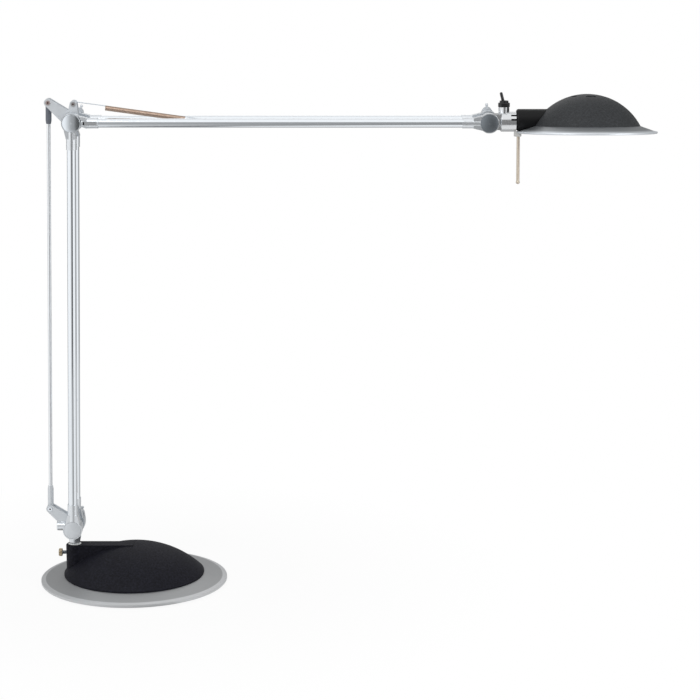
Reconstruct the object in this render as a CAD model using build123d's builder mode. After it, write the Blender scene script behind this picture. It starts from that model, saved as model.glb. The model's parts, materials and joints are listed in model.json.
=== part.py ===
from build123d import *
import os
from math import cos, pi, radians, sin, sqrt, tan

# Desk lamp: a weighted round base, two arms of twin tubes held level by a link rod and balanced by
# springs, and a domed halogen head. Millimetres, +Z up. The origin is the middle of the underside.
# The arms reach along +X and the front is -Y. Each piece is its own solid in its own file.

os.makedirs("parts", exist_ok=True)

# ---- Fits --------------------------------------------------------------------------------------
running_clearance = 0.05  # radial, a shaft that turns in a bore
seat_clearance = 0.05     # radial, a piece pushed into another
face_gap = 0.1            # between faces that slide past each other
overlap = 1.0             # of solids that are joined, and of cuts past the face they leave by

# ---- Base --------------------------------------------------------------------------------------
pad_radius = 94.0
pad_thickness = 1.0
plate_radius = 101.0
rim_thickness = 3.2
rim_bevel_width = 3.5
rim_bevel_height = 1.0
plate_rise = 3.8          # from the bevel up to the seat of the cover
ballast_outer_radius = 58.0
ballast_inner_radius = 42.0
ballast_height = 11.0
transformer_radius = 38.0
transformer_hole_radius = 11.0
transformer_height = 21.0
transformer_rounding = 3.0
ballast_gap = 1.0         # between the ballast and the post
ballast_chamfer = 1.0
dome_radius = 76.0
dome_foot = 1.8           # upright foot below the curve
dome_height = 32.6
dome_wall = 2.6
cover_screw_circle = 64.0
cover_screw_angles = (60, 135, 225, 300)
cover_screw_diameter = 4.0
cover_screw_head = 7.6
cover_boss_diameter = 8.0
cover_hole_depth = 7.5
cover_screw_gap = 1.0     # between the screw's tip and its hole's end
screw_slot_length = 4.2
screw_slot_width = 1.0
screw_slot_depth = 0.9
cord_inlet_diameter = 6.6
cord_bush_diameter = 10.0
cord_bush_flange = 12.0
cord_bush_face = 2.5
cord_bush_length = 14.0
cord_bush_chamfer = 0.8
cord_boss_diameter = 13.0
cord_boss_rise = 1.0      # of the boss beyond the dome's foot
cord_inlet_height = 6.8   # above the plate's seat

# ---- Post and swivel ---------------------------------------------------------------------------
swivel_x = -64.3
post_diameter = 19.0
post_height = 33.0        # above the plate's seat
post_chamfer = 1.2
neck_width = 17.0         # wall between the post and the dome
swivel_bush_wall = 1.5
swivel_bush_length = 28.0
stem_diameter = 11.0
stem_cone_diameter = 14.0
stem_cone_height = 10.0
stem_cone_slope = 7.0     # height of the cone's sloping part
stem_cone_lift = 0.8      # of the cone above the post
stem_web_width = 12.0
stem_tail = 1.2           # of the stem below its clip
stem_chamfer = 0.6
clip_groove_depth = 0.8
clip_thickness = 1.2
clip_reach = 1.3          # of the clip beyond the stem
clip_mouth = 6.6
thumb_screw_height = 23.0 # above the plate's seat
thumb_screw_diameter = 4.0
thumb_head_diameter = 8.6
thumb_head_length = 3.8
thumb_head_chamfer = 0.5
thumb_head_gap = 4.2      # between the post and the head

# ---- Arms --------------------------------------------------------------------------------------
shoulder_z = 62.0
lower_arm_length = 440.0
lower_arm_lean = 1.2      # degrees from upright, as the lamp stands
upper_arm_length = 436.0
tube_diameter = 9.6
tube_wall = 1.0
tube_offset = 14.5        # of each tube's axis from the middle plane
sleeve_diameter = 11.0
sleeve_reach = 28.0       # from the pivot
sleeve_root = 8.0         # where the sleeve starts inside the eye
tube_insert = 10.0        # of the tube in its sleeve
lap_clearance = 0.7       # round the other arm's halved eye
lap_gap = 0.3             # between the two halves
eye_diameter = 20.6
eye_width = 10.0
eye_flare_width = 17.0
eye_flare_waist = 15.0    # of the flare where the sleeve starts
eye_flare_reach = 16.5
eye_flare_inset = 0.2     # of the flare's end inside the sleeve
least_arm_angle = 38.0    # degrees between the two arms, folded as far as they go
clamp_slot_length = 14.6
clamp_slot_width = 4.2
clamp_slot_depth = 0.5
clamp_slot_end = 1.2      # from the sleeve's end
clamp_pocket_length = 1.8
clamp_pocket_width = 3.8
clamp_pocket_depth = 1.6

# ---- Pivots ------------------------------------------------------------------------------------
bolt_diameter = 6.0
bolt_head_diameter = 18.4
bolt_head_sink = 1.0
bolt_head_rise = 0.3      # of the head's edge above the eye
bolt_head_crown = 1.0     # bulge of its face
bolt_head_rim = 0.2       # radial gap round the head in its recess
bush_wall = 1.0
bush_flange_diameter = 13.0
bush_flange = 0.8
bush_start = 1.0          # from the middle plane
knob_diameter = 19.0
knob_width = 7.0
knob_chamfer = 0.8
knob_tip_diameter = 10.0
knob_tip_reach = 8.3      # of the tip's middle from the pivot
knob_boss_diameter = 12.0
knob_boss_width = 0.8
knob_depth = 5.0          # of the bolt in the knob
peg_diameter = 2.2
peg_ball_diameter = 3.2
peg_reach = 15.4          # from the pivot
knob_angle = 65           # degrees of the elbow's and shoulder's pegs above level
head_knob_angle = 93

# ---- Brackets, link rod and springs ------------------------------------------------------------
lever_x = -25.2           # link pin from the pivot
lever_z = 20.2
lever_end_radius = 4.2
lobe_x = 1.2              # spring pin from the pivot
lobe_z = 18.8
lobe_radius = 3.7
bracket_hub_radius = 8.2
bracket_thickness = 2.0
bracket_gap = 7.2         # between the two plates
hub_radius = 9.0
spacer_radius = 7.5
lobe_root_radius = 7.0
shoulder_radius = 6.0     # where a plate sits on its hub
pin_diameter = 3.0
pin_head_diameter = 4.8
pin_head = 0.9
link_rod_diameter = 4.0
link_fitting_width = 6.2
link_eye_diameter = 6.8
link_eye_width = 6.6
link_foot_length = 25.0
link_head_length = 22.5
link_fitting_taper = 3.5
link_fitting_tip_wall = 0.5
link_rod_insert = 6.0
open_pivot_clearance = 0.1
wire_diameter = 1.1
coil_diameter = 5.6
coil_length = 84.0
coil_turns = 46
leg_bend = 3.0            # straightened wire at each end of the coil
upper_coil_lead = 33.2    # straight leg between the elbow's spring pin and the coil
lower_coil_lead = 18.0
anchor_distance = 138.0   # of the spring's far pin from the pivot
anchor_collar_diameter = 5.0
anchor_collar_start = 3.6
anchor_insert = 1.6       # of the pin in the tube's bore
friction_tip_diameter = 4.0
friction_head_diameter = 10.4
friction_head_length = 9.3
friction_head_start = 9.4   # from the pivot
friction_screw_insert = 3.0
friction_notch_gap = 0.8    # between the head and the plates cut clear of it
friction_head_chamfer = 0.6

# ---- Head --------------------------------------------------------------------------------------
barrel_start = 11.3
barrel_end = 28.7
barrel_diameter = 21.0
barrel_chamfer = 2.0
collet_slot_width = 2.0
collet_slot_length = 5.5
collet_slot_angles = (16, 43, 137, 164)
hub_web_height = 16.0
spigot_diameter = 15.0
spigot_length = 6.2
switch_x = 16.0
switch_boss_diameter = 11.3
switch_boss_top = 15.4
switch_case = 8.0
switch_case_height = 11.0
switch_case_top = 7.3
switch_bush_diameter = 7.6
switch_bush_bore = 6.4
switch_ball_room = 1.5    # under the lever's ball
nut_across_flats = 10.6
nut_height = 4.5
nut_collar_diameter = 9.2
nut_collar_height = 2.0
toggle_pivot = 17.5       # above the barrel's axis
toggle_lean = 14.5        # degrees, as the switch stands
toggle_length = 13.8
toggle_root_radius = 1.7
toggle_tip_radius = 1.5
toggle_ball_radius = 2.4
toggle_pin_diameter = 1.6
toggle_pin_reach = 2.8

# ---- Shade -------------------------------------------------------------------------------------
shade_roll = 4.6          # degrees, the front edge up, as the lamp stands
shade_x = 103.2           # of the dome's axis from the head's pivot
shade_radius = 56.0
shade_height = 33.4
shade_wall = 1.6
shade_foot_z = -4.5       # from the barrel's axis
neck_radius = 11.5
neck_rise = 1.7
neck_gap = 0.2
neck_bore_radius = 8.5
neck_wall_end = 5.0
neck_rounding = 2.5
wire_way_radius = 4.0
vent_circle = 16.9
vent_length = 11.0
vent_width = 4.6
vent_count = 5
vent_start = -83          # degrees of the first vent from +X, near the front
brim_radius = 72.9
brim_drop = 6.0
brim_sheet = 1.2
brim_ledge_radius = 48.0
brim_bead_radius = 1.1
glass_radius = 51.0
glass_thickness = 2.5
glass_chamfer = 0.4
reflector_flange_radius = 51.6
reflector_mouth_radius = 49.5
reflector_top_radius = 20.0
reflector_top_z = 22.0
reflector_bulge_radius = 38.0
reflector_bulge_z = 12.0
reflector_sheet = 0.8
reflector_inner_bulge = (37.5, 11.4)
holder_length = 17.0
holder_width = 14.0
holder_height = 12.0
holder_start = 63.4
holder_gap = 0.6
holder_rounding = 1.5
holder_stem_width = 7.0
holder_stem_height = 5.0
holder_disc_x = 37.0
holder_disc_thickness = 3.0
lamp_z = 5.0
capsule_radius = 5.75
capsule_length = 32.0
capsule_pinch_width = 9.0
capsule_pinch_thickness = 4.0
capsule_pinch_length = 7.0
capsule_gap = 0.2         # round the pinch in the holder
capsule_lift = 1.0        # of the bulb from the holder
capsule_end_rounding = 5.2
handle_x = 31.3
handle_diameter = 3.4
handle_bottom = -65.5
handle_ball_diameter = 4.2
handle_insert = 1.6
handle_clip_start = 26.9
handle_clip_length = 7.5
handle_clip_width = 7.0
handle_clip_top = -10.9
handle_clip_bottom = -15.6
handle_clip_chamfer = 0.6

# ---- Places worked out from the sizes above ----------------------------------------------------
seat_z = pad_thickness + rim_thickness + rim_bevel_height + plate_rise
post_top = seat_z + post_height
eye_inner = tube_offset - eye_width / 2
eye_outer = tube_offset + eye_width / 2
hub_half_width = eye_inner - face_gap - bush_flange
bolt_head_seat = bolt_head_sink - eye_outer
plate_inner = bracket_gap / 2
plate_outer = plate_inner + bracket_thickness
web_half_width = plate_inner - seat_clearance
bush_radius = bolt_diameter / 2 + running_clearance + bush_wall
coil_radius = (coil_diameter - wire_diameter) / 2
cord_boss_reach = dome_radius + cord_boss_rise

lean = radians(lower_arm_lean)
shoulder = Vector(swivel_x, 0, shoulder_z)
elbow = shoulder + Vector(sin(lean), 0, cos(lean)) * lower_arm_length
head_pivot = elbow + Vector(upper_arm_length, 0, 0)
lever = Vector(lever_x, 0, lever_z)
lobe = Vector(lobe_x, 0, lobe_z)

# Each frame has X along its piece, and Y to the back.
lower_frame = Plane(origin=shoulder, x_dir=(sin(lean), 0, cos(lean)), z_dir=(-cos(lean), 0, sin(lean)))
upper_frame = Plane(origin=elbow, x_dir=(1, 0, 0), z_dir=(0, 0, 1))
rod_frame = Plane(origin=shoulder + lever, x_dir=lower_frame.x_dir, z_dir=lower_frame.z_dir)
rod_head_frame = Plane(origin=elbow + lever, x_dir=-lower_frame.x_dir, z_dir=-lower_frame.z_dir)
shoulder_frame = Plane(origin=shoulder, x_dir=(1, 0, 0), z_dir=(0, 0, 1))
head_frame = Plane(origin=head_pivot, x_dir=(1, 0, 0), z_dir=(0, 0, 1))
roll = radians(shade_roll)
shade_frame = Plane(origin=head_pivot, x_dir=(1, 0, 0), z_dir=(0, sin(roll), cos(roll)))


def across(frame, x=0.0, y=0.0, z=0.0):
    """A plane through a point of a frame that faces the front: eyes, plates and pins are round in it."""
    return Plane(origin=frame.from_local_coords(Vector(x, y, z)), x_dir=frame.x_dir, z_dir=-frame.y_dir)


def along(frame, x=0.0, y=0.0, z=0.0):
    """A plane through a point of a frame that faces along its X: tubes and barrels are round in it."""
    return Plane(origin=frame.from_local_coords(Vector(x, y, z)), x_dir=frame.y_dir, z_dir=frame.x_dir)


def level(frame, x=0.0, y=0.0, z=0.0):
    """A plane through a point of a frame, square to its Z."""
    return Plane(origin=frame.from_local_coords(Vector(x, y, z)), x_dir=frame.x_dir, z_dir=frame.z_dir)


def write(piece, label):
    """Label a finished piece and write it to its own file."""
    piece.part.label = label
    export_step(piece.part, f"parts/{label}.step")


def cap_radius(foot, height):
    """Radius of the sphere whose cap has this foot radius and height."""
    return (foot**2 + height**2) / (2 * height)


def cap_arc(foot, height, foot_z, inner=0.0):
    """Arc of a cap's profile from its foot up to a radius, in a plane of radius and height."""
    sphere = cap_radius(foot, height)
    centre_z = foot_z + height - sphere
    middle = (foot + inner) / 2
    points = [(r, centre_z + sqrt(sphere**2 - r**2)) for r in (foot, middle, inner)]
    return ThreePointArc(*points)


# ---- Base pieces -------------------------------------------------------------------------------
dome_plane = Plane.XZ
stem_axis = Axis((swivel_x, 0, 0), (0, 0, 1))
seat_plane = Plane.XY.offset(seat_z)
inlet_z = seat_z + cord_inlet_height
cord_bush_start = cord_boss_reach - cord_bush_length


def at_cover_screws():
    """The places of the cover's screws on a level plane."""
    ring = [Vector(cover_screw_circle, 0, 0).rotate(Axis.Z, angle) for angle in cover_screw_angles]
    return Locations(*ring)


def dome_outline(radius, height):
    """The dome's profile over the plate's seat, with its upright foot."""
    cap_arc(radius, height - dome_foot, seat_z + dome_foot)
    Polyline((0, seat_z + height), (0, seat_z), (radius, seat_z), (radius, seat_z + dome_foot))


with BuildPart() as base_pad:
    with BuildSketch(Plane.XY):
        Circle(pad_radius)
        with at_cover_screws():
            Circle(cover_screw_head / 2 + seat_clearance, mode=Mode.SUBTRACT)
    extrude(amount=pad_thickness)
write(base_pad, "base_pad")

with BuildPart() as base_plate:
    with BuildSketch(dome_plane):
        with BuildLine():
            Polyline(
                (0, pad_thickness),
                (plate_radius - rim_bevel_height, pad_thickness),
                (plate_radius, pad_thickness + rim_bevel_height),
                (plate_radius, pad_thickness + rim_thickness),
                (plate_radius - rim_bevel_width, pad_thickness + rim_thickness + rim_bevel_height),
                (dome_radius, seat_z),
                (0, seat_z),
                close=True,
            )
        make_face()
    revolve(axis=Axis.Z)
    # Countersunk screw holes, open below.
    for angle in cover_screw_angles:
        with Locations(Plane(origin=(0, 0, pad_thickness), x_dir=(1, 0, 0), z_dir=(0, 0, -1))):
            with PolarLocations(cover_screw_circle, 1, start_angle=-angle):
                CounterSinkHole(
                    cover_screw_diameter / 2 + seat_clearance,
                    cover_screw_head / 2,
                    depth=seat_z,
                    counter_sink_angle=90,
                )
write(base_plate, "base_plate")

with BuildPart() as ballast_ring:
    with BuildSketch(seat_plane):
        Circle(ballast_outer_radius)
        Circle(ballast_inner_radius, mode=Mode.SUBTRACT)
        with Locations((swivel_x, 0)):
            Circle(post_diameter / 2 + ballast_gap, mode=Mode.SUBTRACT)
    extrude(amount=ballast_height)
    top_edges = ballast_ring.faces().sort_by(Axis.Z)[-1].edges()
    chamfer(top_edges.filter_by(GeomType.CIRCLE), ballast_chamfer)
write(ballast_ring, "ballast_ring")

with BuildPart() as transformer:
    with BuildSketch(seat_plane):
        Circle(transformer_radius)
        Circle(transformer_hole_radius, mode=Mode.SUBTRACT)
    extrude(amount=transformer_height)
    fillet(transformer.edges().filter_by(GeomType.CIRCLE).group_by(Axis.Z)[-1], transformer_rounding)
write(transformer, "transformer")

# The hollow under the dome and the neck goes round the post and the screws' bosses.
with BuildPart() as cover_hollow:
    with BuildSketch(dome_plane):
        with BuildLine():
            dome_outline(dome_radius - dome_wall, dome_height - dome_wall)
        make_face()
    revolve(axis=Axis.Z)
    with BuildSketch(seat_plane):
        with Locations((swivel_x / 2, 0)):
            Rectangle(-swivel_x, neck_width - 2 * dome_wall)
    extrude(amount=post_height - dome_wall)
    with BuildSketch(seat_plane):
        with Locations((swivel_x, 0)):
            Circle(post_diameter / 2)
        with at_cover_screws():
            Circle(cover_boss_diameter / 2)
    extrude(amount=post_height, mode=Mode.SUBTRACT)

with BuildPart() as base_cover:
    with BuildSketch(dome_plane):
        with BuildLine():
            dome_outline(dome_radius, dome_height)
        make_face()
    revolve(axis=Axis.Z)
    with BuildSketch(seat_plane):
        with Locations((swivel_x / 2, 0)):
            Rectangle(-swivel_x, neck_width)
    extrude(amount=post_height)
    with BuildSketch(Plane(origin=(swivel_x, 0, 0), x_dir=(1, 0, 0), z_dir=(0, -1, 0))):
        with BuildLine():
            Polyline(
                (0, seat_z),
                (post_diameter / 2, seat_z),
                (post_diameter / 2, post_top - post_chamfer),
                (post_diameter / 2 - post_chamfer, post_top),
                (0, post_top),
                close=True,
            )
        make_face()
    revolve(axis=stem_axis)
    # A moulded boss at the back, with a flat end for the cord's bush.
    with BuildSketch(Plane(origin=(0, 0, inlet_z), x_dir=(-1, 0, 0), z_dir=(0, 1, 0))):
        Circle(cord_boss_diameter / 2)
        with Locations((0, -cord_inlet_height / 2)):
            Rectangle(cord_boss_diameter, cord_inlet_height)
    extrude(amount=cord_boss_reach)
    add(cover_hollow.part, mode=Mode.SUBTRACT)
    # The bores for the screws, the swivel's bush, the thumb screw and the cord's bush.
    with BuildSketch(seat_plane):
        with at_cover_screws():
            Circle(cover_screw_diameter / 2 + seat_clearance)
    extrude(amount=cover_hole_depth, mode=Mode.SUBTRACT)
    with BuildSketch(seat_plane):
        with Locations((swivel_x, 0)):
            Circle(stem_diameter / 2 + running_clearance + swivel_bush_wall + seat_clearance)
    extrude(amount=post_height, mode=Mode.SUBTRACT)
    with BuildSketch(Plane(origin=(swivel_x, 0, seat_z + thumb_screw_height), z_dir=(-1, 0, 0))):
        Circle(thumb_screw_diameter / 2 + running_clearance)
    extrude(amount=post_diameter, mode=Mode.SUBTRACT)
    with BuildSketch(Plane(origin=(0, cord_bush_start, inlet_z), x_dir=(-1, 0, 0), z_dir=(0, 1, 0))):
        Circle(cord_bush_diameter / 2 + seat_clearance)
    extrude(amount=cord_boss_reach, mode=Mode.SUBTRACT)
write(base_cover, "base_cover")

with BuildPart() as cover_screws:
    for angle in cover_screw_angles:
        centre = Vector(0, 0, pad_thickness) + Vector(cover_screw_circle, 0, 0).rotate(Axis.Z, angle)
        with BuildSketch(Plane(origin=centre)):
            Circle(cover_screw_diameter / 2)
        extrude(amount=seat_z - pad_thickness + cover_hole_depth - cover_screw_gap)
        with BuildSketch(Plane(origin=centre)):
            Circle(cover_screw_head / 2 - seat_clearance)
        extrude(amount=(cover_screw_head - cover_screw_diameter) / 2, taper=45)
        with BuildSketch(Plane(origin=centre)):
            Rectangle(screw_slot_length, screw_slot_width)
        extrude(amount=screw_slot_depth, mode=Mode.SUBTRACT)
write(cover_screws, "cover_screws")

with BuildPart() as cord_bush:
    bush_plane = Plane(origin=(0, cord_boss_reach, inlet_z), x_dir=(-1, 0, 0), z_dir=(0, 1, 0))
    with BuildSketch(bush_plane):
        Circle(cord_bush_flange / 2)
    extrude(amount=cord_bush_face)
    with BuildSketch(bush_plane):
        Circle(cord_bush_diameter / 2)
    extrude(amount=-cord_bush_length)
    chamfer(cord_bush.faces().sort_by(Axis.Y)[-1].edges(), cord_bush_chamfer)
    with BuildSketch(bush_plane.offset(cord_bush_face)):
        Circle(cord_inlet_diameter / 2)
    extrude(amount=-cord_bush_face - cord_bush_length, mode=Mode.SUBTRACT)
write(cord_bush, "cord_bush")

# ---- Post and swivel pieces --------------------------------------------------------------------
swivel_bush_bottom = post_top - swivel_bush_length
with BuildPart() as swivel_bush:
    with BuildSketch(Plane(origin=(swivel_x, 0, swivel_bush_bottom))):
        Circle(stem_diameter / 2 + running_clearance + swivel_bush_wall)
        Circle(stem_diameter / 2 + running_clearance, mode=Mode.SUBTRACT)
    extrude(amount=swivel_bush_length)
    with BuildSketch(Plane(origin=(swivel_x, 0, seat_z + thumb_screw_height), z_dir=(-1, 0, 0))):
        Circle(thumb_screw_diameter / 2 + running_clearance)
    extrude(amount=post_diameter, mode=Mode.SUBTRACT)
write(swivel_bush, "swivel_bush")

stem_clip_top = swivel_bush_bottom - face_gap
stem_clip_bottom = stem_clip_top - clip_thickness
stem_bottom = stem_clip_bottom - stem_tail
cone_bottom = post_top + stem_cone_lift
cone_top = cone_bottom + stem_cone_height
with BuildPart() as swivel_stem:
    with BuildSketch(across(shoulder_frame)):
        Circle(hub_radius)
    extrude(amount=web_half_width, both=True)
    with BuildSketch(across(shoulder_frame)):
        Circle(shoulder_radius)
    extrude(amount=hub_half_width, both=True)
    with BuildSketch(Plane(origin=(swivel_x, 0, cone_top - overlap))):
        Rectangle(stem_web_width, 2 * web_half_width)
    extrude(amount=shoulder_z - cone_top + overlap)
    with BuildSketch(Plane(origin=(swivel_x, 0, 0), x_dir=(1, 0, 0), z_dir=(0, -1, 0))):
        with BuildLine():
            Polyline(
                (0, stem_bottom),
                (stem_diameter / 2 - stem_chamfer, stem_bottom),
                (stem_diameter / 2, stem_bottom + stem_chamfer),
                (stem_diameter / 2, stem_clip_bottom),
                (stem_diameter / 2 - clip_groove_depth, stem_clip_bottom),
                (stem_diameter / 2 - clip_groove_depth, stem_clip_top),
                (stem_diameter / 2, stem_clip_top),
                (stem_diameter / 2, cone_bottom),
                (stem_cone_diameter / 2, cone_bottom + stem_cone_slope),
                (stem_cone_diameter / 2, cone_top),
                (0, cone_top),
                close=True,
            )
        make_face()
    revolve(axis=stem_axis)
    with BuildSketch(across(shoulder_frame)):
        Circle(bush_radius + seat_clearance)
    extrude(amount=hub_half_width + overlap, both=True, mode=Mode.SUBTRACT)
    # The friction screw's threaded hole, in from the left up to the bore.
    with BuildSketch(Plane(origin=(swivel_x, 0, shoulder_z), z_dir=(-1, 0, 0))):
        Circle(friction_tip_diameter / 2 + running_clearance)
    extrude(amount=hub_radius + overlap, mode=Mode.SUBTRACT)
write(swivel_stem, "swivel_stem")

with BuildPart() as stem_clip:
    with BuildSketch(Plane(origin=(swivel_x, 0, stem_clip_bottom + face_gap / 2))):
        Circle(stem_diameter / 2 + clip_reach)
        Circle(stem_diameter / 2 - clip_groove_depth + seat_clearance, mode=Mode.SUBTRACT)
        with Locations((stem_diameter / 2, 0)):
            Rectangle(stem_diameter, clip_mouth, mode=Mode.SUBTRACT)
    extrude(amount=clip_thickness - face_gap)
write(stem_clip, "stem_clip")

thumb_z = seat_z + thumb_screw_height
thumb_tip_x = swivel_x - stem_diameter / 2 - face_gap
thumb_head_x = swivel_x - post_diameter / 2 - thumb_head_gap
with BuildPart() as thumb_screw:
    with BuildSketch(Plane(origin=(thumb_tip_x, 0, thumb_z), z_dir=(-1, 0, 0))):
        Circle(thumb_screw_diameter / 2)
    extrude(amount=thumb_tip_x - thumb_head_x)
    with BuildSketch(Plane(origin=(thumb_head_x, 0, thumb_z), z_dir=(-1, 0, 0))):
        Circle(thumb_head_diameter / 2)
    extrude(amount=thumb_head_length)
    chamfer(thumb_screw.faces().sort_by(Axis.X)[0].edges(), thumb_head_chamfer)
write(thumb_screw, "thumb_screw")

# ---- Brackets, the same shape at the shoulder and the elbow -------------------------------------


def bracket_plate(frame, side, label, notched=False):
    """A plate with a lever for the link rod and a lobe for the spring, round a hub.

    A notched plate is cut clear of the friction screw's head.
    """
    middle = side * (plate_inner + plate_outer) / 2
    with BuildPart() as plate:
        for x, z, radius, root in (
            (lever_x, lever_z, lever_end_radius, bracket_hub_radius),
            (lobe_x, lobe_z, lobe_radius, lobe_root_radius),
        ):
            with BuildSketch(across(frame, y=middle)):
                Circle(root)
                with Locations((x, z)):
                    Circle(radius)
                make_hull()
            extrude(amount=bracket_thickness / 2, both=True)
        with BuildSketch(across(frame, y=middle)):
            Circle(shoulder_radius + seat_clearance)
            with Locations((lever_x, lever_z), (lobe_x, lobe_z)):
                Circle(pin_diameter / 2 + seat_clearance)
        extrude(amount=bracket_thickness, both=True, mode=Mode.SUBTRACT)
        if notched:
            notch_top = friction_head_diameter / 2 + friction_notch_gap
            with BuildSketch(across(frame, x=-bracket_hub_radius, y=middle)):
                Rectangle(lever_end_radius - lever_x, notch_top, align=(Align.MAX, Align.MIN))
                Rectangle(lever_end_radius - lever_x, notch_top, align=(Align.MAX, Align.MAX))
            extrude(amount=bracket_thickness, both=True, mode=Mode.SUBTRACT)
    write(plate, label)


def bracket_pins(frame, label):
    """The link pin and the spring pin, headed on both sides."""
    with BuildPart() as pins:
        for x, z in ((lever_x, lever_z), (lobe_x, lobe_z)):
            with BuildSketch(across(frame, x=x, z=z)):
                Circle(pin_diameter / 2)
            extrude(amount=plate_outer + pin_head, both=True)
            for side in (-1, 1):
                with BuildSketch(across(frame, x=x, z=z, y=side * (plate_outer + pin_head / 2))):
                    Circle(pin_head_diameter / 2)
                extrude(amount=pin_head / 2, both=True)
    write(pins, label)


def pivot_bushes(frame, label):
    """Two flanged bushes that carry a hub on its bolt."""
    with BuildPart() as bushes:
        for side in (-1, 1):
            sleeve_length = hub_half_width - bush_start
            with BuildSketch(across(frame, y=side * (bush_start + sleeve_length / 2))):
                Circle(bush_radius)
            extrude(amount=sleeve_length / 2, both=True)
            with BuildSketch(across(frame, y=side * (hub_half_width + bush_flange / 2))):
                Circle(bush_flange_diameter / 2)
            extrude(amount=bush_flange / 2, both=True)
        with BuildSketch(across(frame)):
            Circle(bolt_diameter / 2 + running_clearance)
        extrude(amount=eye_inner, both=True, mode=Mode.SUBTRACT)
    write(bushes, label)


bracket_plate(shoulder_frame, -1, "shoulder_plate_front", notched=True)
bracket_plate(shoulder_frame, 1, "shoulder_plate_rear", notched=True)
bracket_pins(shoulder_frame, "shoulder_pins")
pivot_bushes(shoulder_frame, "shoulder_bushes")
bracket_plate(upper_frame, -1, "elbow_plate_front")
bracket_plate(upper_frame, 1, "elbow_plate_rear")
bracket_pins(upper_frame, "elbow_pins")
pivot_bushes(upper_frame, "elbow_bushes")
pivot_bushes(head_frame, "head_bushes")

with BuildPart() as elbow_spacer:
    with BuildSketch(across(upper_frame)):
        Circle(spacer_radius)
    extrude(amount=web_half_width, both=True)
    with BuildSketch(across(upper_frame)):
        Circle(shoulder_radius)
    extrude(amount=hub_half_width, both=True)
    with BuildSketch(across(upper_frame)):
        Circle(bush_radius + seat_clearance)
    extrude(amount=hub_half_width + overlap, both=True, mode=Mode.SUBTRACT)
write(elbow_spacer, "elbow_spacer")

with BuildPart() as friction_screw:
    with BuildSketch(Plane(origin=shoulder - Vector(friction_head_start, 0, 0), z_dir=(-1, 0, 0))):
        Circle(friction_head_diameter / 2)
    extrude(amount=friction_head_length)
    chamfer(friction_screw.edges().filter_by(GeomType.CIRCLE), friction_head_chamfer)
    tip = shoulder - Vector(hub_radius - friction_screw_insert, 0, 0)
    with BuildSketch(Plane(origin=tip, z_dir=(-1, 0, 0))):
        Circle(friction_tip_diameter / 2)
    extrude(amount=friction_head_start - hub_radius + friction_screw_insert)
write(friction_screw, "friction_screw")

# ---- Arms --------------------------------------------------------------------------------------


def arm_tube(frame, length, side, label):
    """One tube of an arm, between its two end fittings, with a hole for the spring anchor."""
    reach = sleeve_reach - tube_insert
    with BuildPart() as tube:
        with BuildSketch(along(frame, x=reach, y=side * tube_offset)):
            Circle(tube_diameter / 2)
            Circle(tube_diameter / 2 - tube_wall, mode=Mode.SUBTRACT)
        extrude(amount=length - 2 * reach)
        with BuildSketch(across(frame, x=anchor_distance, y=side * (tube_offset - tube_diameter / 2))):
            Circle(pin_diameter / 2 + seat_clearance)
        extrude(amount=2 * tube_wall, both=True, mode=Mode.SUBTRACT)
    write(tube, label)


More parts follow.
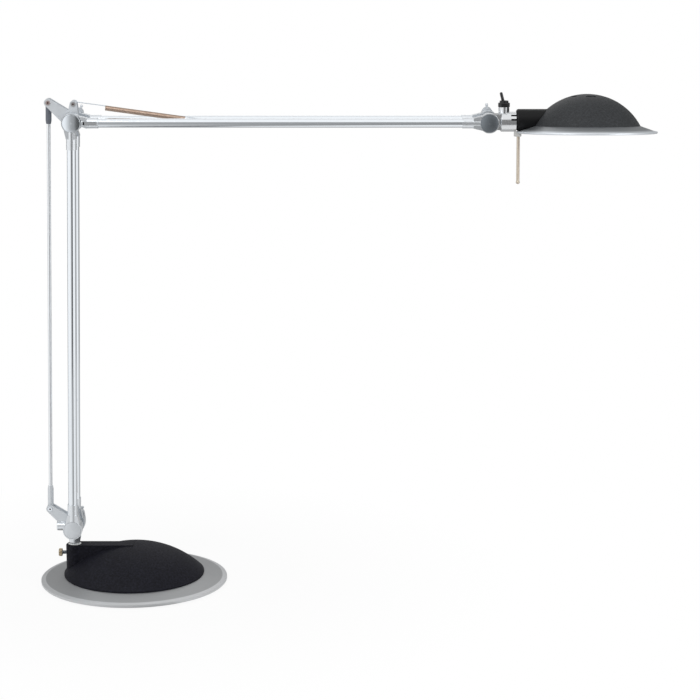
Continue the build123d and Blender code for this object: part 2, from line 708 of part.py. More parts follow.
def arm_end(frame, x, heading, side, label, lap=None, slotted=False):
    """A sleeve over a tube's end and an eye on the pivot.

    Where two arms lap on one pivot, one keeps the outer half of its eye and the other the inner half.
    """
    middle = side * tube_offset
    sleeve_front = middle - sleeve_diameter / 2
    with BuildPart() as fitting:
        with BuildSketch(across(frame, x=x, y=middle)):
            Circle(eye_diameter / 2)
            with BuildLine():
                Polyline(
                    (0, eye_flare_width / 2),
                    (heading * sleeve_root, eye_flare_waist / 2),
                    (heading * eye_flare_reach, sleeve_diameter / 2 - eye_flare_inset),
                    (heading * eye_flare_reach, eye_flare_inset - sleeve_diameter / 2),
                    (heading * sleeve_root, -eye_flare_waist / 2),
                    (0, -eye_flare_width / 2),
                    close=True,
                )
            make_face()
        extrude(amount=eye_width / 2, both=True)
        with BuildSketch(along(frame, x=x + heading * sleeve_root, y=middle)):
            Circle(sleeve_diameter / 2)
        extrude(amount=heading * (sleeve_reach - sleeve_root))
        # The socket that holds the tube.
        with BuildSketch(along(frame, x=x + heading * (sleeve_reach - tube_insert), y=middle)):
            Circle(tube_diameter / 2 + seat_clearance)
        extrude(amount=heading * (tube_insert + overlap), mode=Mode.SUBTRACT)
        if lap:
            away = side if lap == "inner" else -side
            with BuildSketch(across(frame, x=x, y=middle + away * (sleeve_diameter - lap_gap) / 2)):
                Circle(eye_diameter / 2 + lap_clearance)
            extrude(amount=sleeve_diameter / 2, both=True, mode=Mode.SUBTRACT)
            # Past the eye, each arm keeps to its own side of the line that halves the least angle.
            half_angle = radians(least_arm_angle / 2)
            line_start = lap_gap / 2 / cos(half_angle)
            line_end = line_start - sleeve_reach * tan(half_angle)
            with BuildSketch(across(frame, x=x, y=middle)):
                with BuildLine():
                    Polyline(
                        (0, line_start),
                        (heading * sleeve_reach, line_end),
                        (heading * sleeve_reach, -sleeve_reach),
                        (0, -sleeve_reach),
                        close=True,
                    )
                make_face()
                Circle(eye_diameter / 2, mode=Mode.SUBTRACT)
            extrude(amount=sleeve_diameter, both=True, mode=Mode.SUBTRACT)
        if side < 0 and lap != "inner":
            # The bolt's head sits in a recess of the front eye.
            with BuildSketch(across(frame, x=x, y=bolt_head_seat)):
                Circle(bolt_head_diameter / 2 + bolt_head_rim)
            extrude(amount=bolt_head_sink + sleeve_diameter, mode=Mode.SUBTRACT)
        if slotted:
            slot_end = heading * (sleeve_reach - clamp_slot_end)
            slot_middle = slot_end - heading * clamp_slot_length / 2
            pocket_middle = slot_end - heading * (clamp_slot_length - clamp_pocket_length / 2)
            with BuildSketch(across(frame, x=x + slot_middle, y=sleeve_front)):
                Rectangle(clamp_slot_length, clamp_slot_width)
            extrude(amount=clamp_slot_depth, both=True, mode=Mode.SUBTRACT)
            with BuildSketch(across(frame, x=x + pocket_middle, y=sleeve_front)):
                Rectangle(clamp_pocket_length, clamp_pocket_width)
            extrude(amount=clamp_pocket_depth, both=True, mode=Mode.SUBTRACT)
        bore = running_clearance if lap == "inner" else seat_clearance
        with BuildSketch(across(frame, x=x, y=middle)):
            Circle(bolt_diameter / 2 + bore)
        extrude(amount=sleeve_diameter, both=True, mode=Mode.SUBTRACT)
    write(fitting, label)


def spring_anchor(frame, label):
    """The cross pin between an arm's tubes that the spring's far hook pulls on."""
    pin_half = tube_offset - tube_diameter / 2 + tube_wall + anchor_insert
    with BuildPart() as anchor:
        with BuildSketch(across(frame, x=anchor_distance)):
            Circle(pin_diameter / 2)
        extrude(amount=pin_half, both=True)
        collar_end = tube_offset - tube_diameter / 2 - seat_clearance
        for side in (-1, 1):
            collar_middle = side * (anchor_collar_start + collar_end) / 2
            with BuildSketch(across(frame, x=anchor_distance, y=collar_middle)):
                Circle(anchor_collar_diameter / 2)
            extrude(amount=(collar_end - anchor_collar_start) / 2, both=True)
    write(anchor, label)


def pivot_bolt(frame, x, label):
    """A bolt with a broad crowned head in front. Its end holds the knob behind."""
    head_radius = bolt_head_diameter / 2
    edge = bolt_head_sink + bolt_head_rise
    tail = -(2 * eye_outer - bolt_head_sink + face_gap + knob_boss_width + knob_depth)
    centre = frame.from_local_coords(Vector(x, bolt_head_seat, 0))
    with BuildPart() as bolt:
        with BuildSketch(Plane(origin=centre, x_dir=frame.x_dir, z_dir=-frame.z_dir)):
            with BuildLine():
                cap_arc(head_radius, bolt_head_crown, edge)
                Polyline(
                    (0, edge + bolt_head_crown),
                    (0, tail),
                    (bolt_diameter / 2, tail),
                    (bolt_diameter / 2, 0),
                    (head_radius, 0),
                    (head_radius, edge),
                )
            make_face()
        revolve(axis=Axis(centre, -frame.y_dir))
    write(bolt, label)


def pivot_knob(frame, x, peg_angle, label):
    """The friction knob behind a pivot: a drop-shaped grip with a ball-ended peg at its tip."""
    boss_start = eye_outer + face_gap
    grip_start = boss_start + knob_boss_width
    grip_y = grip_start + knob_width / 2
    outward = Vector(cos(radians(peg_angle)), 0, sin(radians(peg_angle)))
    tip = outward * knob_tip_reach
    centre = frame.from_local_coords(Vector(x, grip_y, 0))
    way = frame.from_local_coords(Vector(x, grip_y, 0) + outward) - centre
    peg_root = knob_tip_reach + knob_tip_diameter / 2 - overlap
    with BuildPart() as knob:
        with BuildSketch(across(frame, x=x, y=grip_y)):
            Circle(knob_diameter / 2)
            with Locations((tip.X, tip.Z)):
                Circle(knob_tip_diameter / 2)
            make_hull()
        extrude(amount=knob_width / 2, both=True)
        chamfer(knob.faces().sort_by(Axis.Y)[-1].edges(), knob_chamfer)
        with BuildSketch(across(frame, x=x, y=boss_start + (knob_boss_width + overlap) / 2)):
            Circle(knob_boss_diameter / 2)
        extrude(amount=(knob_boss_width + overlap) / 2, both=True)
        with BuildSketch(Plane(origin=centre + way * peg_root, z_dir=way)):
            Circle(peg_diameter / 2)
        extrude(amount=peg_reach - peg_root)
        with Locations(Plane(origin=centre + way * peg_reach, z_dir=way)):
            Sphere(peg_ball_diameter / 2)
        with BuildSketch(across(frame, x=x, y=boss_start)):
            Circle(bolt_diameter / 2 + running_clearance)
        extrude(amount=-(knob_boss_width + knob_depth + face_gap), mode=Mode.SUBTRACT)
    write(knob, label)


for name, side in (("front", -1), ("rear", 1)):
    arm_tube(lower_frame, lower_arm_length, side, f"lower_tube_{name}")
    arm_tube(upper_frame, upper_arm_length, side, f"upper_tube_{name}")
    arm_end(lower_frame, 0, 1, side, f"lower_foot_end_{name}")
    arm_end(lower_frame, lower_arm_length, -1, side, f"lower_top_end_{name}", lap="outer")
    arm_end(upper_frame, 0, 1, side, f"upper_root_end_{name}", lap="inner", slotted=side < 0)
    arm_end(upper_frame, upper_arm_length, -1, side, f"upper_tip_end_{name}")
spring_anchor(lower_frame, "lower_spring_anchor")
spring_anchor(upper_frame, "upper_spring_anchor")
pivot_bolt(lower_frame, 0, "shoulder_bolt")
pivot_bolt(lower_frame, lower_arm_length, "elbow_bolt")
pivot_bolt(upper_frame, upper_arm_length, "head_bolt")
pivot_knob(shoulder_frame, 0, knob_angle, "shoulder_knob")
pivot_knob(upper_frame, 0, knob_angle, "elbow_knob")
pivot_knob(upper_frame, upper_arm_length, head_knob_angle, "head_knob")

# ---- Link rod ----------------------------------------------------------------------------------


def link_fitting(frame, length, clearance, label):
    """A round fitting along a frame's X, with an eye for a link pin at its origin and the rod in its end."""
    with BuildPart() as fitting:
        with BuildSketch(across(frame)):
            with BuildLine():
                Polyline(
                    (0, 0),
                    (length, 0),
                    (length, link_rod_diameter / 2 + link_fitting_tip_wall),
                    (length - link_fitting_taper, link_fitting_width / 2),
                    (0, link_fitting_width / 2),
                    close=True,
                )
            make_face()
        revolve(axis=Axis(frame.origin, frame.x_dir))
        with BuildSketch(across(frame)):
            Circle(link_eye_diameter / 2)
        extrude(amount=link_eye_width / 2, both=True)
        with BuildSketch(across(frame)):
            Circle(pin_diameter / 2 + clearance)
        extrude(amount=link_fitting_width, both=True, mode=Mode.SUBTRACT)
        with BuildSketch(along(frame, x=length - link_rod_insert)):
            Circle(link_rod_diameter / 2 + seat_clearance)
        extrude(amount=link_rod_insert + overlap, mode=Mode.SUBTRACT)
    write(fitting, label)


link_fitting(rod_frame, link_foot_length, running_clearance, "link_foot")
link_fitting(rod_head_frame, link_head_length, open_pivot_clearance, "link_head")
with BuildPart() as link_rod:
    with BuildSketch(along(rod_frame, x=link_foot_length - link_rod_insert)):
        Circle(link_rod_diameter / 2)
    extrude(amount=lower_arm_length - link_foot_length - link_head_length + 2 * link_rod_insert)
write(link_rod, "link_rod")

# ---- Springs -----------------------------------------------------------------------------------


points_per_edge = 6  # where the wire's gap is measured


def biarc(start, start_way, end, end_way):
    """Two arcs that leave one point along its way, meet smoothly and reach the next along its own."""
    span = end - start
    both = start_way + end_way
    square = 4 - both.dot(both)
    across_span = span.dot(both)
    reach = (sqrt(across_span**2 + square * span.dot(span)) - across_span) / square
    knee_out = start + start_way * reach
    knee_in = end - end_way * reach
    middle = (knee_out + knee_in) * 0.5
    TangentArc(start, middle, tangent=start_way)
    TangentArc(middle, end, tangent=knee_in - knee_out)


def least_gap(edges, label):
    """Print the least gap between two stretches of the wire that aren't neighbours on it."""
    points = [edge @ (step / points_per_edge) for edge in edges for step in range(points_per_edge)]
    run = [0.0]
    for before, after in zip(points, points[1:]):
        run.append(run[-1] + (after - before).length)
    half_turn = pi * coil_radius
    gap = min(
        (points[i] - points[j]).length
        for i in range(len(points))
        for j in range(i + 1, len(points))
        if run[j] - run[i] > half_turn
    )
    print(f"{label}: least gap of the wire to itself {gap - wire_diameter:.2f} mm")


def coil_spring(pin, far_pin, lead, label):
    """An extension spring: a hook round each pin, a straight leg on each side and a coil between."""
    line = Plane(origin=pin, x_dir=far_pin - pin, z_dir=(0, -1, 0))
    span = (far_pin - pin).length
    pitch = coil_length / coil_turns

    def hook(centre, angle):
        """A point and way on the hook, which turns clockwise round its pin."""
        turn = radians(angle)
        point = Vector(centre + coil_radius * cos(turn), coil_radius * sin(turn), 0)
        return point, Vector(sin(turn), -cos(turn), 0)

    def turn_at(angle):
        """A point and way on the coil."""
        turn = radians(angle)
        point = Vector(lead + pitch * angle / 360, coil_radius * cos(turn), coil_radius * sin(turn))
        return point, Vector(pitch / (2 * pi * coil_radius), -sin(turn), cos(turn)).normalized()

    ahead = Vector(1, 0, 0)
    near = [hook(0, angle) for angle in (-45, -135, -225, -270)]
    coil = [turn_at(angle) for angle in range(90, 360 * coil_turns, 180)]
    far = [hook(span, angle) for angle in (90, 0, -90, -135)]
    before_coil = (Vector(lead - leg_bend, coil_radius, 0), ahead)
    after_coil = (Vector(lead + coil_length + leg_bend, coil_radius, 0), ahead)
    stations = near + [before_coil] + coil + [after_coil] + far
    with BuildPart() as spring:
        with BuildLine() as wire:
            for (start, start_way), (end, end_way) in zip(stations, stations[1:]):
                start_point = line.from_local_coords(start)
                end_point = line.from_local_coords(end)
                if start_way == ahead and end_way == ahead:
                    Line(start_point, end_point)
                else:
                    world_way = line.from_local_coords(start + start_way) - start_point
                    world_end_way = line.from_local_coords(end + end_way) - end_point
                    biarc(start_point, world_way, end_point, world_end_way)
        first_way = wire.line.edges()[0] % 0
        with BuildSketch(Plane(origin=line.from_local_coords(near[0][0]), z_dir=first_way)):
            Circle(wire_diameter / 2)
        sweep(path=wire.wires()[0])
    write(spring, label)
    least_gap(wire.edges(), label)


lower_anchor_point = lower_frame.from_local_coords(Vector(anchor_distance, 0, 0))
upper_anchor_point = upper_frame.from_local_coords(Vector(anchor_distance, 0, 0))
coil_spring(shoulder + lobe, lower_anchor_point, lower_coil_lead, "lower_spring")
coil_spring(elbow + lobe, upper_anchor_point, upper_coil_lead, "upper_spring")

# ---- Head --------------------------------------------------------------------------------------
barrel_radius = barrel_diameter / 2
spigot_start = barrel_end - spigot_length
with BuildPart() as head_hub:
    with BuildSketch(along(head_frame, x=barrel_start)):
        Circle(barrel_radius)
    extrude(amount=barrel_end - barrel_start)
    chamfer(head_hub.faces().sort_by(Axis.X)[0].edges(), barrel_chamfer)
    with BuildSketch(across(head_frame)):
        Circle(hub_radius)
        with Locations(((barrel_start + barrel_chamfer) / 2, 0)):
            Rectangle(barrel_start + barrel_chamfer, hub_web_height)
    extrude(amount=hub_half_width, both=True)
    with BuildSketch(level(head_frame, x=switch_x)):
        Circle(switch_boss_diameter / 2)
    extrude(amount=switch_boss_top)
    with BuildSketch(across(head_frame)):
        Circle(bush_radius + seat_clearance)
    extrude(amount=hub_half_width + overlap, both=True, mode=Mode.SUBTRACT)
    # The switch's pocket, open at the front of the spigot's bore, and its hole through the boss.
    with BuildSketch(level(head_frame, x=switch_x, z=switch_case_top - switch_case_height)):
        Rectangle(switch_case + 2 * seat_clearance, switch_case + 2 * seat_clearance)
    extrude(amount=switch_case_height, mode=Mode.SUBTRACT)
    with BuildSketch(level(head_frame, x=switch_x)):
        Circle(switch_bush_diameter / 2 + seat_clearance)
    extrude(amount=switch_boss_top + overlap, mode=Mode.SUBTRACT)
    with BuildSketch(along(head_frame, x=spigot_start)):
        Circle(spigot_diameter / 2 + running_clearance)
    extrude(amount=spigot_length + overlap, mode=Mode.SUBTRACT)
    with BuildSketch(along(head_frame, x=switch_x)):
        Circle(wire_way_radius - 1)
    extrude(amount=barrel_end - switch_x, mode=Mode.SUBTRACT)
    for angle in collet_slot_angles:
        slot_way = Vector(0, -cos(radians(angle)), sin(radians(angle)))
        slot_root = head_frame.from_local_coords(Vector(barrel_end - collet_slot_length / 2, 0, 0))
        with BuildSketch(Plane(origin=slot_root, x_dir=(1, 0, 0), z_dir=slot_way)):
            Rectangle(collet_slot_length, collet_slot_width)
        extrude(amount=barrel_radius + overlap, mode=Mode.SUBTRACT)
write(head_hub, "head_hub")

with BuildPart() as switch_body:
    with BuildSketch(level(head_frame, x=switch_x, z=switch_case_top - switch_case_height)):
        Rectangle(switch_case, switch_case)
    extrude(amount=switch_case_height)
    with BuildSketch(level(head_frame, x=switch_x, z=switch_case_top)):
        Circle(switch_bush_diameter / 2)
    extrude(amount=switch_boss_top + nut_height + nut_collar_height - switch_case_top)
    with BuildSketch(level(head_frame, x=switch_x, z=toggle_pivot - toggle_ball_radius - switch_ball_room)):
        Circle(switch_bush_bore / 2)
    extrude(amount=switch_boss_top, mode=Mode.SUBTRACT)
write(switch_body, "switch_body")

with BuildPart() as switch_nut:
    with BuildSketch(level(head_frame, x=switch_x, z=switch_boss_top)):
        RegularPolygon(nut_across_flats / 2, 6, major_radius=False)
    extrude(amount=nut_height)
    chamfer(switch_nut.faces().sort_by(Axis.Z)[-1].edges(), 0.5)
    with BuildSketch(level(head_frame, x=switch_x, z=switch_boss_top)):
        Circle(nut_collar_diameter / 2)
    extrude(amount=nut_height + nut_collar_height)
    with BuildSketch(level(head_frame, x=switch_x, z=switch_boss_top)):
        Circle(switch_bush_diameter / 2 + seat_clearance)
    extrude(amount=nut_height + nut_collar_height, mode=Mode.SUBTRACT)
write(switch_nut, "switch_nut")

toggle_way = Vector(-sin(radians(toggle_lean)), 0, cos(radians(toggle_lean)))
toggle_origin = head_frame.from_local_coords(Vector(switch_x, 0, toggle_pivot))
with BuildPart() as toggle_lever:
    with BuildSketch(Plane(origin=toggle_origin, x_dir=toggle_way.cross(Vector(0, -1, 0)), z_dir=(0, -1, 0))):
        with BuildLine():
            Polyline(
                (0, 0),
                (toggle_root_radius, 0),
                (toggle_tip_radius, toggle_length - toggle_tip_radius),
            )
            RadiusArc(
                (toggle_tip_radius, toggle_length - toggle_tip_radius),
                (0, toggle_length),
                -toggle_tip_radius,
            )
            Line((0, toggle_length), (0, 0))
        make_face()
    revolve(axis=Axis(toggle_origin, toggle_way))
    with Locations(Plane(origin=toggle_origin, z_dir=toggle_way)):
        Sphere(toggle_ball_radius)
    with BuildSketch(across(head_frame, x=switch_x, z=toggle_pivot)):
        Circle(toggle_pin_diameter / 2)
    extrude(amount=toggle_pin_reach, both=True)
write(toggle_lever, "toggle_lever")

# ---- Shade -------------------------------------------------------------------------------------
shade_centre = shade_frame.from_local_coords(Vector(shade_x, 0, 0))
shade_axis = Axis(shade_centre, shade_frame.z_dir)
shade_profile = across(shade_frame, x=shade_x)
brim_top_foot = shade_radius
brim_edge_z = shade_foot_z - brim_drop


def brim_top_line():
    """The brim's upper face, from the dome's foot out to the bead."""
    return Line((brim_top_foot, shade_foot_z), (brim_radius, brim_edge_z))


with BuildPart() as shade_dome:
    with BuildSketch(shade_profile):
        with BuildLine():
            cap_arc(shade_radius, shade_height, shade_foot_z)
            Line((0, shade_foot_z + shade_height), (0, shade_foot_z + shade_height - shade_wall))
            cap_arc(shade_radius - shade_wall, shade_height - shade_wall, shade_foot_z)
            Line((shade_radius - shade_wall, shade_foot_z), (shade_radius, shade_foot_z))
        make_face()
    revolve(axis=shade_axis)
    with BuildSketch(along(shade_frame, x=shade_x - shade_radius, z=neck_rise)):
        Circle(neck_bore_radius)
    extrude(amount=shade_radius / 2, mode=Mode.SUBTRACT)
    with BuildSketch(level(shade_frame, x=shade_x)):
        with PolarLocations(vent_circle, vent_count, start_angle=vent_start):
            SlotOverall(vent_length, vent_width, rotation=90)
    extrude(amount=shade_height, mode=Mode.SUBTRACT)
write(shade_dome, "shade_dome")

with BuildPart() as shade_neck:
    with BuildSketch(along(shade_frame, x=barrel_end + neck_gap, z=neck_rise)):
        Circle(neck_radius)
    extrude(amount=shade_x - shade_radius / 2 - barrel_end)
    fillet(shade_neck.faces().sort_by(Axis.X)[0].edges(), neck_rounding)
    # The neck stops at the dome's outside and rests on the brim.
    with BuildSketch(shade_profile):
        with BuildLine():
            cap_arc(shade_radius, shade_height, shade_foot_z)
            brim_top_line()
            Polyline(
                (brim_radius, brim_edge_z),
                (brim_radius, brim_edge_z - neck_radius),
                (0, brim_edge_z - neck_radius),
                (0, shade_foot_z + shade_height),
            )
        make_face()
    revolve(axis=shade_axis, mode=Mode.SUBTRACT)
    with BuildSketch(along(shade_frame, x=barrel_end + neck_wall_end, z=neck_rise)):
        Circle(neck_bore_radius)
    extrude(amount=shade_x, mode=Mode.SUBTRACT)
    with BuildSketch(along(shade_frame, x=spigot_start + face_gap)):
        Circle(spigot_diameter / 2)
    extrude(amount=spigot_length + neck_gap - face_gap + 1)
    with BuildSketch(along(shade_frame, x=spigot_start)):
        Circle(wire_way_radius)
    extrude(amount=neck_wall_end + spigot_length + overlap, mode=Mode.SUBTRACT)
write(shade_neck, "shade_neck")

with BuildPart() as shade_brim:
    with BuildSketch(shade_profile):
        with BuildLine():
            brim_top_line()
            Polyline(
                (brim_radius, brim_edge_z),
                (brim_radius, brim_edge_z - brim_sheet),
                (shade_radius - shade_wall, shade_foot_z - brim_sheet),
                (brim_ledge_radius, shade_foot_z - brim_sheet),
                (brim_ledge_radius, shade_foot_z),
                (brim_top_foot, shade_foot_z),
            )
        make_face()
        with Locations((brim_radius, brim_edge_z - brim_sheet / 2)):
            Circle(brim_bead_radius)
    revolve(axis=shade_axis)
write(shade_brim, "shade_brim")

glass_top = shade_foot_z + glass_thickness
with BuildPart() as safety_glass:
    with BuildSketch(level(shade_frame, x=shade_x, z=shade_foot_z)):
        Circle(glass_radius)
    extrude(amount=glass_thickness)
    chamfer(safety_glass.edges(), glass_chamfer)
write(safety_glass, "safety_glass")

with BuildPart() as reflector:
    with BuildSketch(shade_profile):
        with BuildLine():
            ThreePointArc(
                (reflector_mouth_radius, glass_top + reflector_sheet),
                (reflector_bulge_radius, reflector_bulge_z),
                (reflector_top_radius, reflector_top_z),
            )
            Polyline(
                (reflector_top_radius, reflector_top_z),
                (0, reflector_top_z),
                (0, reflector_top_z - reflector_sheet),
                (reflector_top_radius - reflector_sheet / 2, reflector_top_z - reflector_sheet),
            )
            ThreePointArc(
                (reflector_top_radius - reflector_sheet / 2, reflector_top_z - reflector_sheet),
                reflector_inner_bulge,
                (reflector_mouth_radius - reflector_sheet, glass_top),
            )
            Polyline(
                (reflector_mouth_radius - reflector_sheet, glass_top),
                (reflector_flange_radius, glass_top),
                (reflector_flange_radius, glass_top + reflector_sheet),
                (reflector_mouth_radius, glass_top + reflector_sheet),
            )
        make_face()
    revolve(axis=shade_axis)
    # The lamp holder comes in through the left wall.
    with BuildSketch(along(shade_frame, x=shade_x - shade_radius, z=lamp_z)):
        Rectangle(holder_width + 2 * holder_gap, holder_height + 2 * holder_gap)
    extrude(amount=holder_start + holder_length - shade_x + shade_radius, mode=Mode.SUBTRACT)
write(reflector, "reflector")

holder_end = holder_start + holder_length
with BuildPart() as lamp_holder:
    with BuildSketch(along(shade_frame, x=holder_start, z=lamp_z)):
        RectangleRounded(holder_width, holder_height, holder_rounding)
    extrude(amount=holder_length)
    # A stem and a disc that fits the neck's bore.
    with BuildSketch(along(shade_frame, x=holder_disc_x, z=neck_rise + holder_stem_height / 2)):
        Rectangle(holder_stem_width, holder_stem_height)
    extrude(amount=holder_start - holder_disc_x)
    with BuildSketch(along(shade_frame, x=holder_disc_x, z=neck_rise)):
        Circle(neck_bore_radius - seat_clearance)
        with Locations((0, -neck_bore_radius / 2)):
            Circle(wire_way_radius / 2, mode=Mode.SUBTRACT)
    extrude(amount=holder_disc_thickness)
    with BuildSketch(along(shade_frame, x=holder_end, z=lamp_z)):
        Rectangle(capsule_pinch_width + 2 * capsule_gap, capsule_pinch_thickness + 2 * capsule_gap)
    extrude(amount=-capsule_pinch_length, mode=Mode.SUBTRACT)
write(lamp_holder, "lamp_holder")

with BuildPart() as halogen_capsule:
    with BuildSketch(along(shade_frame, x=holder_end - capsule_pinch_length + capsule_gap, z=lamp_z)):
        Rectangle(capsule_pinch_width, capsule_pinch_thickness)
    extrude(amount=capsule_pinch_length + capsule_lift + overlap)
    with BuildSketch(along(shade_frame, x=holder_end + capsule_lift, z=lamp_z)):
        Circle(capsule_radius)
    extrude(amount=capsule_length)
    fillet(halogen_capsule.faces().sort_by(Axis.X)[-1].edges(), capsule_end_rounding)
write(halogen_capsule, "halogen_capsule")

with BuildPart() as handle_clip:
    with BuildSketch(level(shade_frame, x=handle_clip_start, z=handle_clip_bottom)):
        Rectangle(handle_clip_length, handle_clip_width, align=(Align.MIN, Align.CENTER))
    extrude(amount=handle_clip_top - handle_clip_bottom)
    chamfer(handle_clip.edges().filter_by(Axis((0, 0, 0), shade_frame.y_dir)), handle_clip_chamfer)
    # It hooks round the brim's bead and lies against the brim's underside.
    with BuildSketch(shade_profile):
        with Locations((brim_radius, brim_edge_z - brim_sheet / 2)):
            Circle(brim_bead_radius + seat_clearance)
    revolve(axis=shade_axis, mode=Mode.SUBTRACT)
    with BuildSketch(shade_profile):
        with BuildLine():
            Polyline(
                (brim_radius, brim_edge_z - brim_sheet - seat_clearance),
                (shade_radius - shade_wall, shade_foot_z - brim_sheet - seat_clearance),
                (shade_radius - shade_wall, shade_foot_z),
                (brim_radius, shade_foot_z),
                close=True,
            )
        make_face()
    revolve(axis=shade_axis, mode=Mode.SUBTRACT)
    with BuildSketch(level(shade_frame, x=handle_x, z=handle_clip_bottom)):
        Circle(handle_diameter / 2 + seat_clearance)
    extrude(amount=handle_insert + seat_clearance, mode=Mode.SUBTRACT)
write(handle_clip, "handle_clip")

with BuildPart() as handle_rod:
    with BuildSketch(level(shade_frame, x=handle_x, z=handle_bottom + handle_ball_diameter / 2)):
        Circle(handle_diameter / 2)
    extrude(amount=handle_clip_bottom + handle_insert - handle_bottom - handle_ball_diameter / 2)
    with Locations(level(shade_frame, x=handle_x, z=handle_bottom + handle_ball_diameter / 2)):
        Sphere(handle_ball_diameter / 2)
write(handle_rod, "handle_rod")
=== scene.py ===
import json
from math import cos, pi, radians, sin

import bmesh
import bpy
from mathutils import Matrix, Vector


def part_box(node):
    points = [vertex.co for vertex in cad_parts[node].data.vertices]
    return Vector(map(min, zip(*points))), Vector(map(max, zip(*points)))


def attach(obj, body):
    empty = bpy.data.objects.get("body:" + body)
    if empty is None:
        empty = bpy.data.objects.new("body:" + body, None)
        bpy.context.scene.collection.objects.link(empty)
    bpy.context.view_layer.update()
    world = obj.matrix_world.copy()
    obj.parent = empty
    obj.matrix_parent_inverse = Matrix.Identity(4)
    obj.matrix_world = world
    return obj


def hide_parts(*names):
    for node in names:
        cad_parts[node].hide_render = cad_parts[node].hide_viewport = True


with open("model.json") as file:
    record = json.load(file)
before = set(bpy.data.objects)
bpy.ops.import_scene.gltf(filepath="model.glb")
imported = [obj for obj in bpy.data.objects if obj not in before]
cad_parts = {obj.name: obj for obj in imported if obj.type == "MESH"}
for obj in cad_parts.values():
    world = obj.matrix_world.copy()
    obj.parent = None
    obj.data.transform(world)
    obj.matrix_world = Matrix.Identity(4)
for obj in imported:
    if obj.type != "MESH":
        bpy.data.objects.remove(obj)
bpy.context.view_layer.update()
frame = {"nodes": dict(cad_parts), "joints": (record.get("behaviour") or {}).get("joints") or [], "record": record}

# Looks of the desk lamp: finishes for every CAD node, and modelled pieces for what the solids leave
# plain. Metres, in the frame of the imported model: +X the way the arms reach, -Y the front, +Z up.

NODES = frame["nodes"]
SLOT_OF = {entry["node"]: entry["material_slot"] for entry in frame["record"]["subparts"]}
JOINTS = {joint["name"]: joint for joint in frame["joints"]}
MM = 0.001

# ---- Places read from the frame ------------------------------------------------------------------
SHOULDER = Vector(JOINTS["lower_arm_tilt"]["pos_m"])
ELBOW = Vector(JOINTS["upper_arm_tilt"]["pos_m"])
HEAD_PIVOT = Vector(JOINTS["head_tilt"]["pos_m"])
LEVER_PIN = Vector(JOINTS["link_rod_swing"]["pos_m"])
LOWER_WAY = (ELBOW - SHOULDER).normalized()
UPPER_WAY = (HEAD_PIVOT - ELBOW).normalized()
FRONT = Vector((0, -1, 0))
RIGHT = Vector((1, 0, 0))
UP = Vector((0, 0, 1))


def middle(node):
    """Centre of a CAD node's box."""
    low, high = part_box(node)
    return (low + high) / 2


PLATE = middle("base_plate")
PLATE_RADIUS = (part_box("base_plate")[1].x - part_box("base_plate")[0].x) / 2
BRIM = middle("shade_brim")
BRIM_RADIUS = (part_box("shade_brim")[1].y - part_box("shade_brim")[0].y) / 2

# ---- Node helpers --------------------------------------------------------------------------------
# Nearly all values of a noise texture lie between these two.
NOISE_LOW = 0.3
NOISE_HIGH = 0.7
BEVEL_SAMPLES = 4


def feed_in(tree, socket, feed):
    """Give a socket a constant, or the output of another node."""
    if isinstance(feed, bpy.types.NodeSocket):
        tree.links.new(feed, socket)
    else:
        socket.default_value = feed


def number(tree, operation, *feeds):
    """A Math node; each feed is a number or a socket."""
    made = tree.nodes.new("ShaderNodeMath")
    made.operation = operation
    for socket, feed in zip(made.inputs, feeds):
        feed_in(tree, socket, feed)
    return made.outputs["Value"]


def vector(tree, operation, *feeds):
    """The outputs of a Vector Math node; each feed is a vector or a socket."""
    made = tree.nodes.new("ShaderNodeVectorMath")
    made.operation = operation
    for socket, feed in zip(made.inputs, feeds):
        feed_in(tree, socket, feed)
    return made.outputs


def ranged(tree, feed, start, end, low=0.0, high=1.0):
    """A number that runs from low to high as the feed runs from start to end."""
    made = tree.nodes.new("ShaderNodeMapRange")
    made.inputs["From Min"].default_value = start
    made.inputs["From Max"].default_value = end
    made.inputs["To Min"].default_value = low
    made.inputs["To Max"].default_value = high
    tree.links.new(feed, made.inputs["Value"])
    return made.outputs["Result"]


def mixed(tree, factor, first, second, blend="MIX"):
    """Two colours mixed by a factor."""
    made = tree.nodes.new("ShaderNodeMix")
    made.data_type = "RGBA"
    made.blend_type = blend
    for socket, feed in (("Factor", factor), ("A", first), ("B", second)):
        feed_in(tree, made.inputs[socket], feed)
    return made.outputs["Result"]


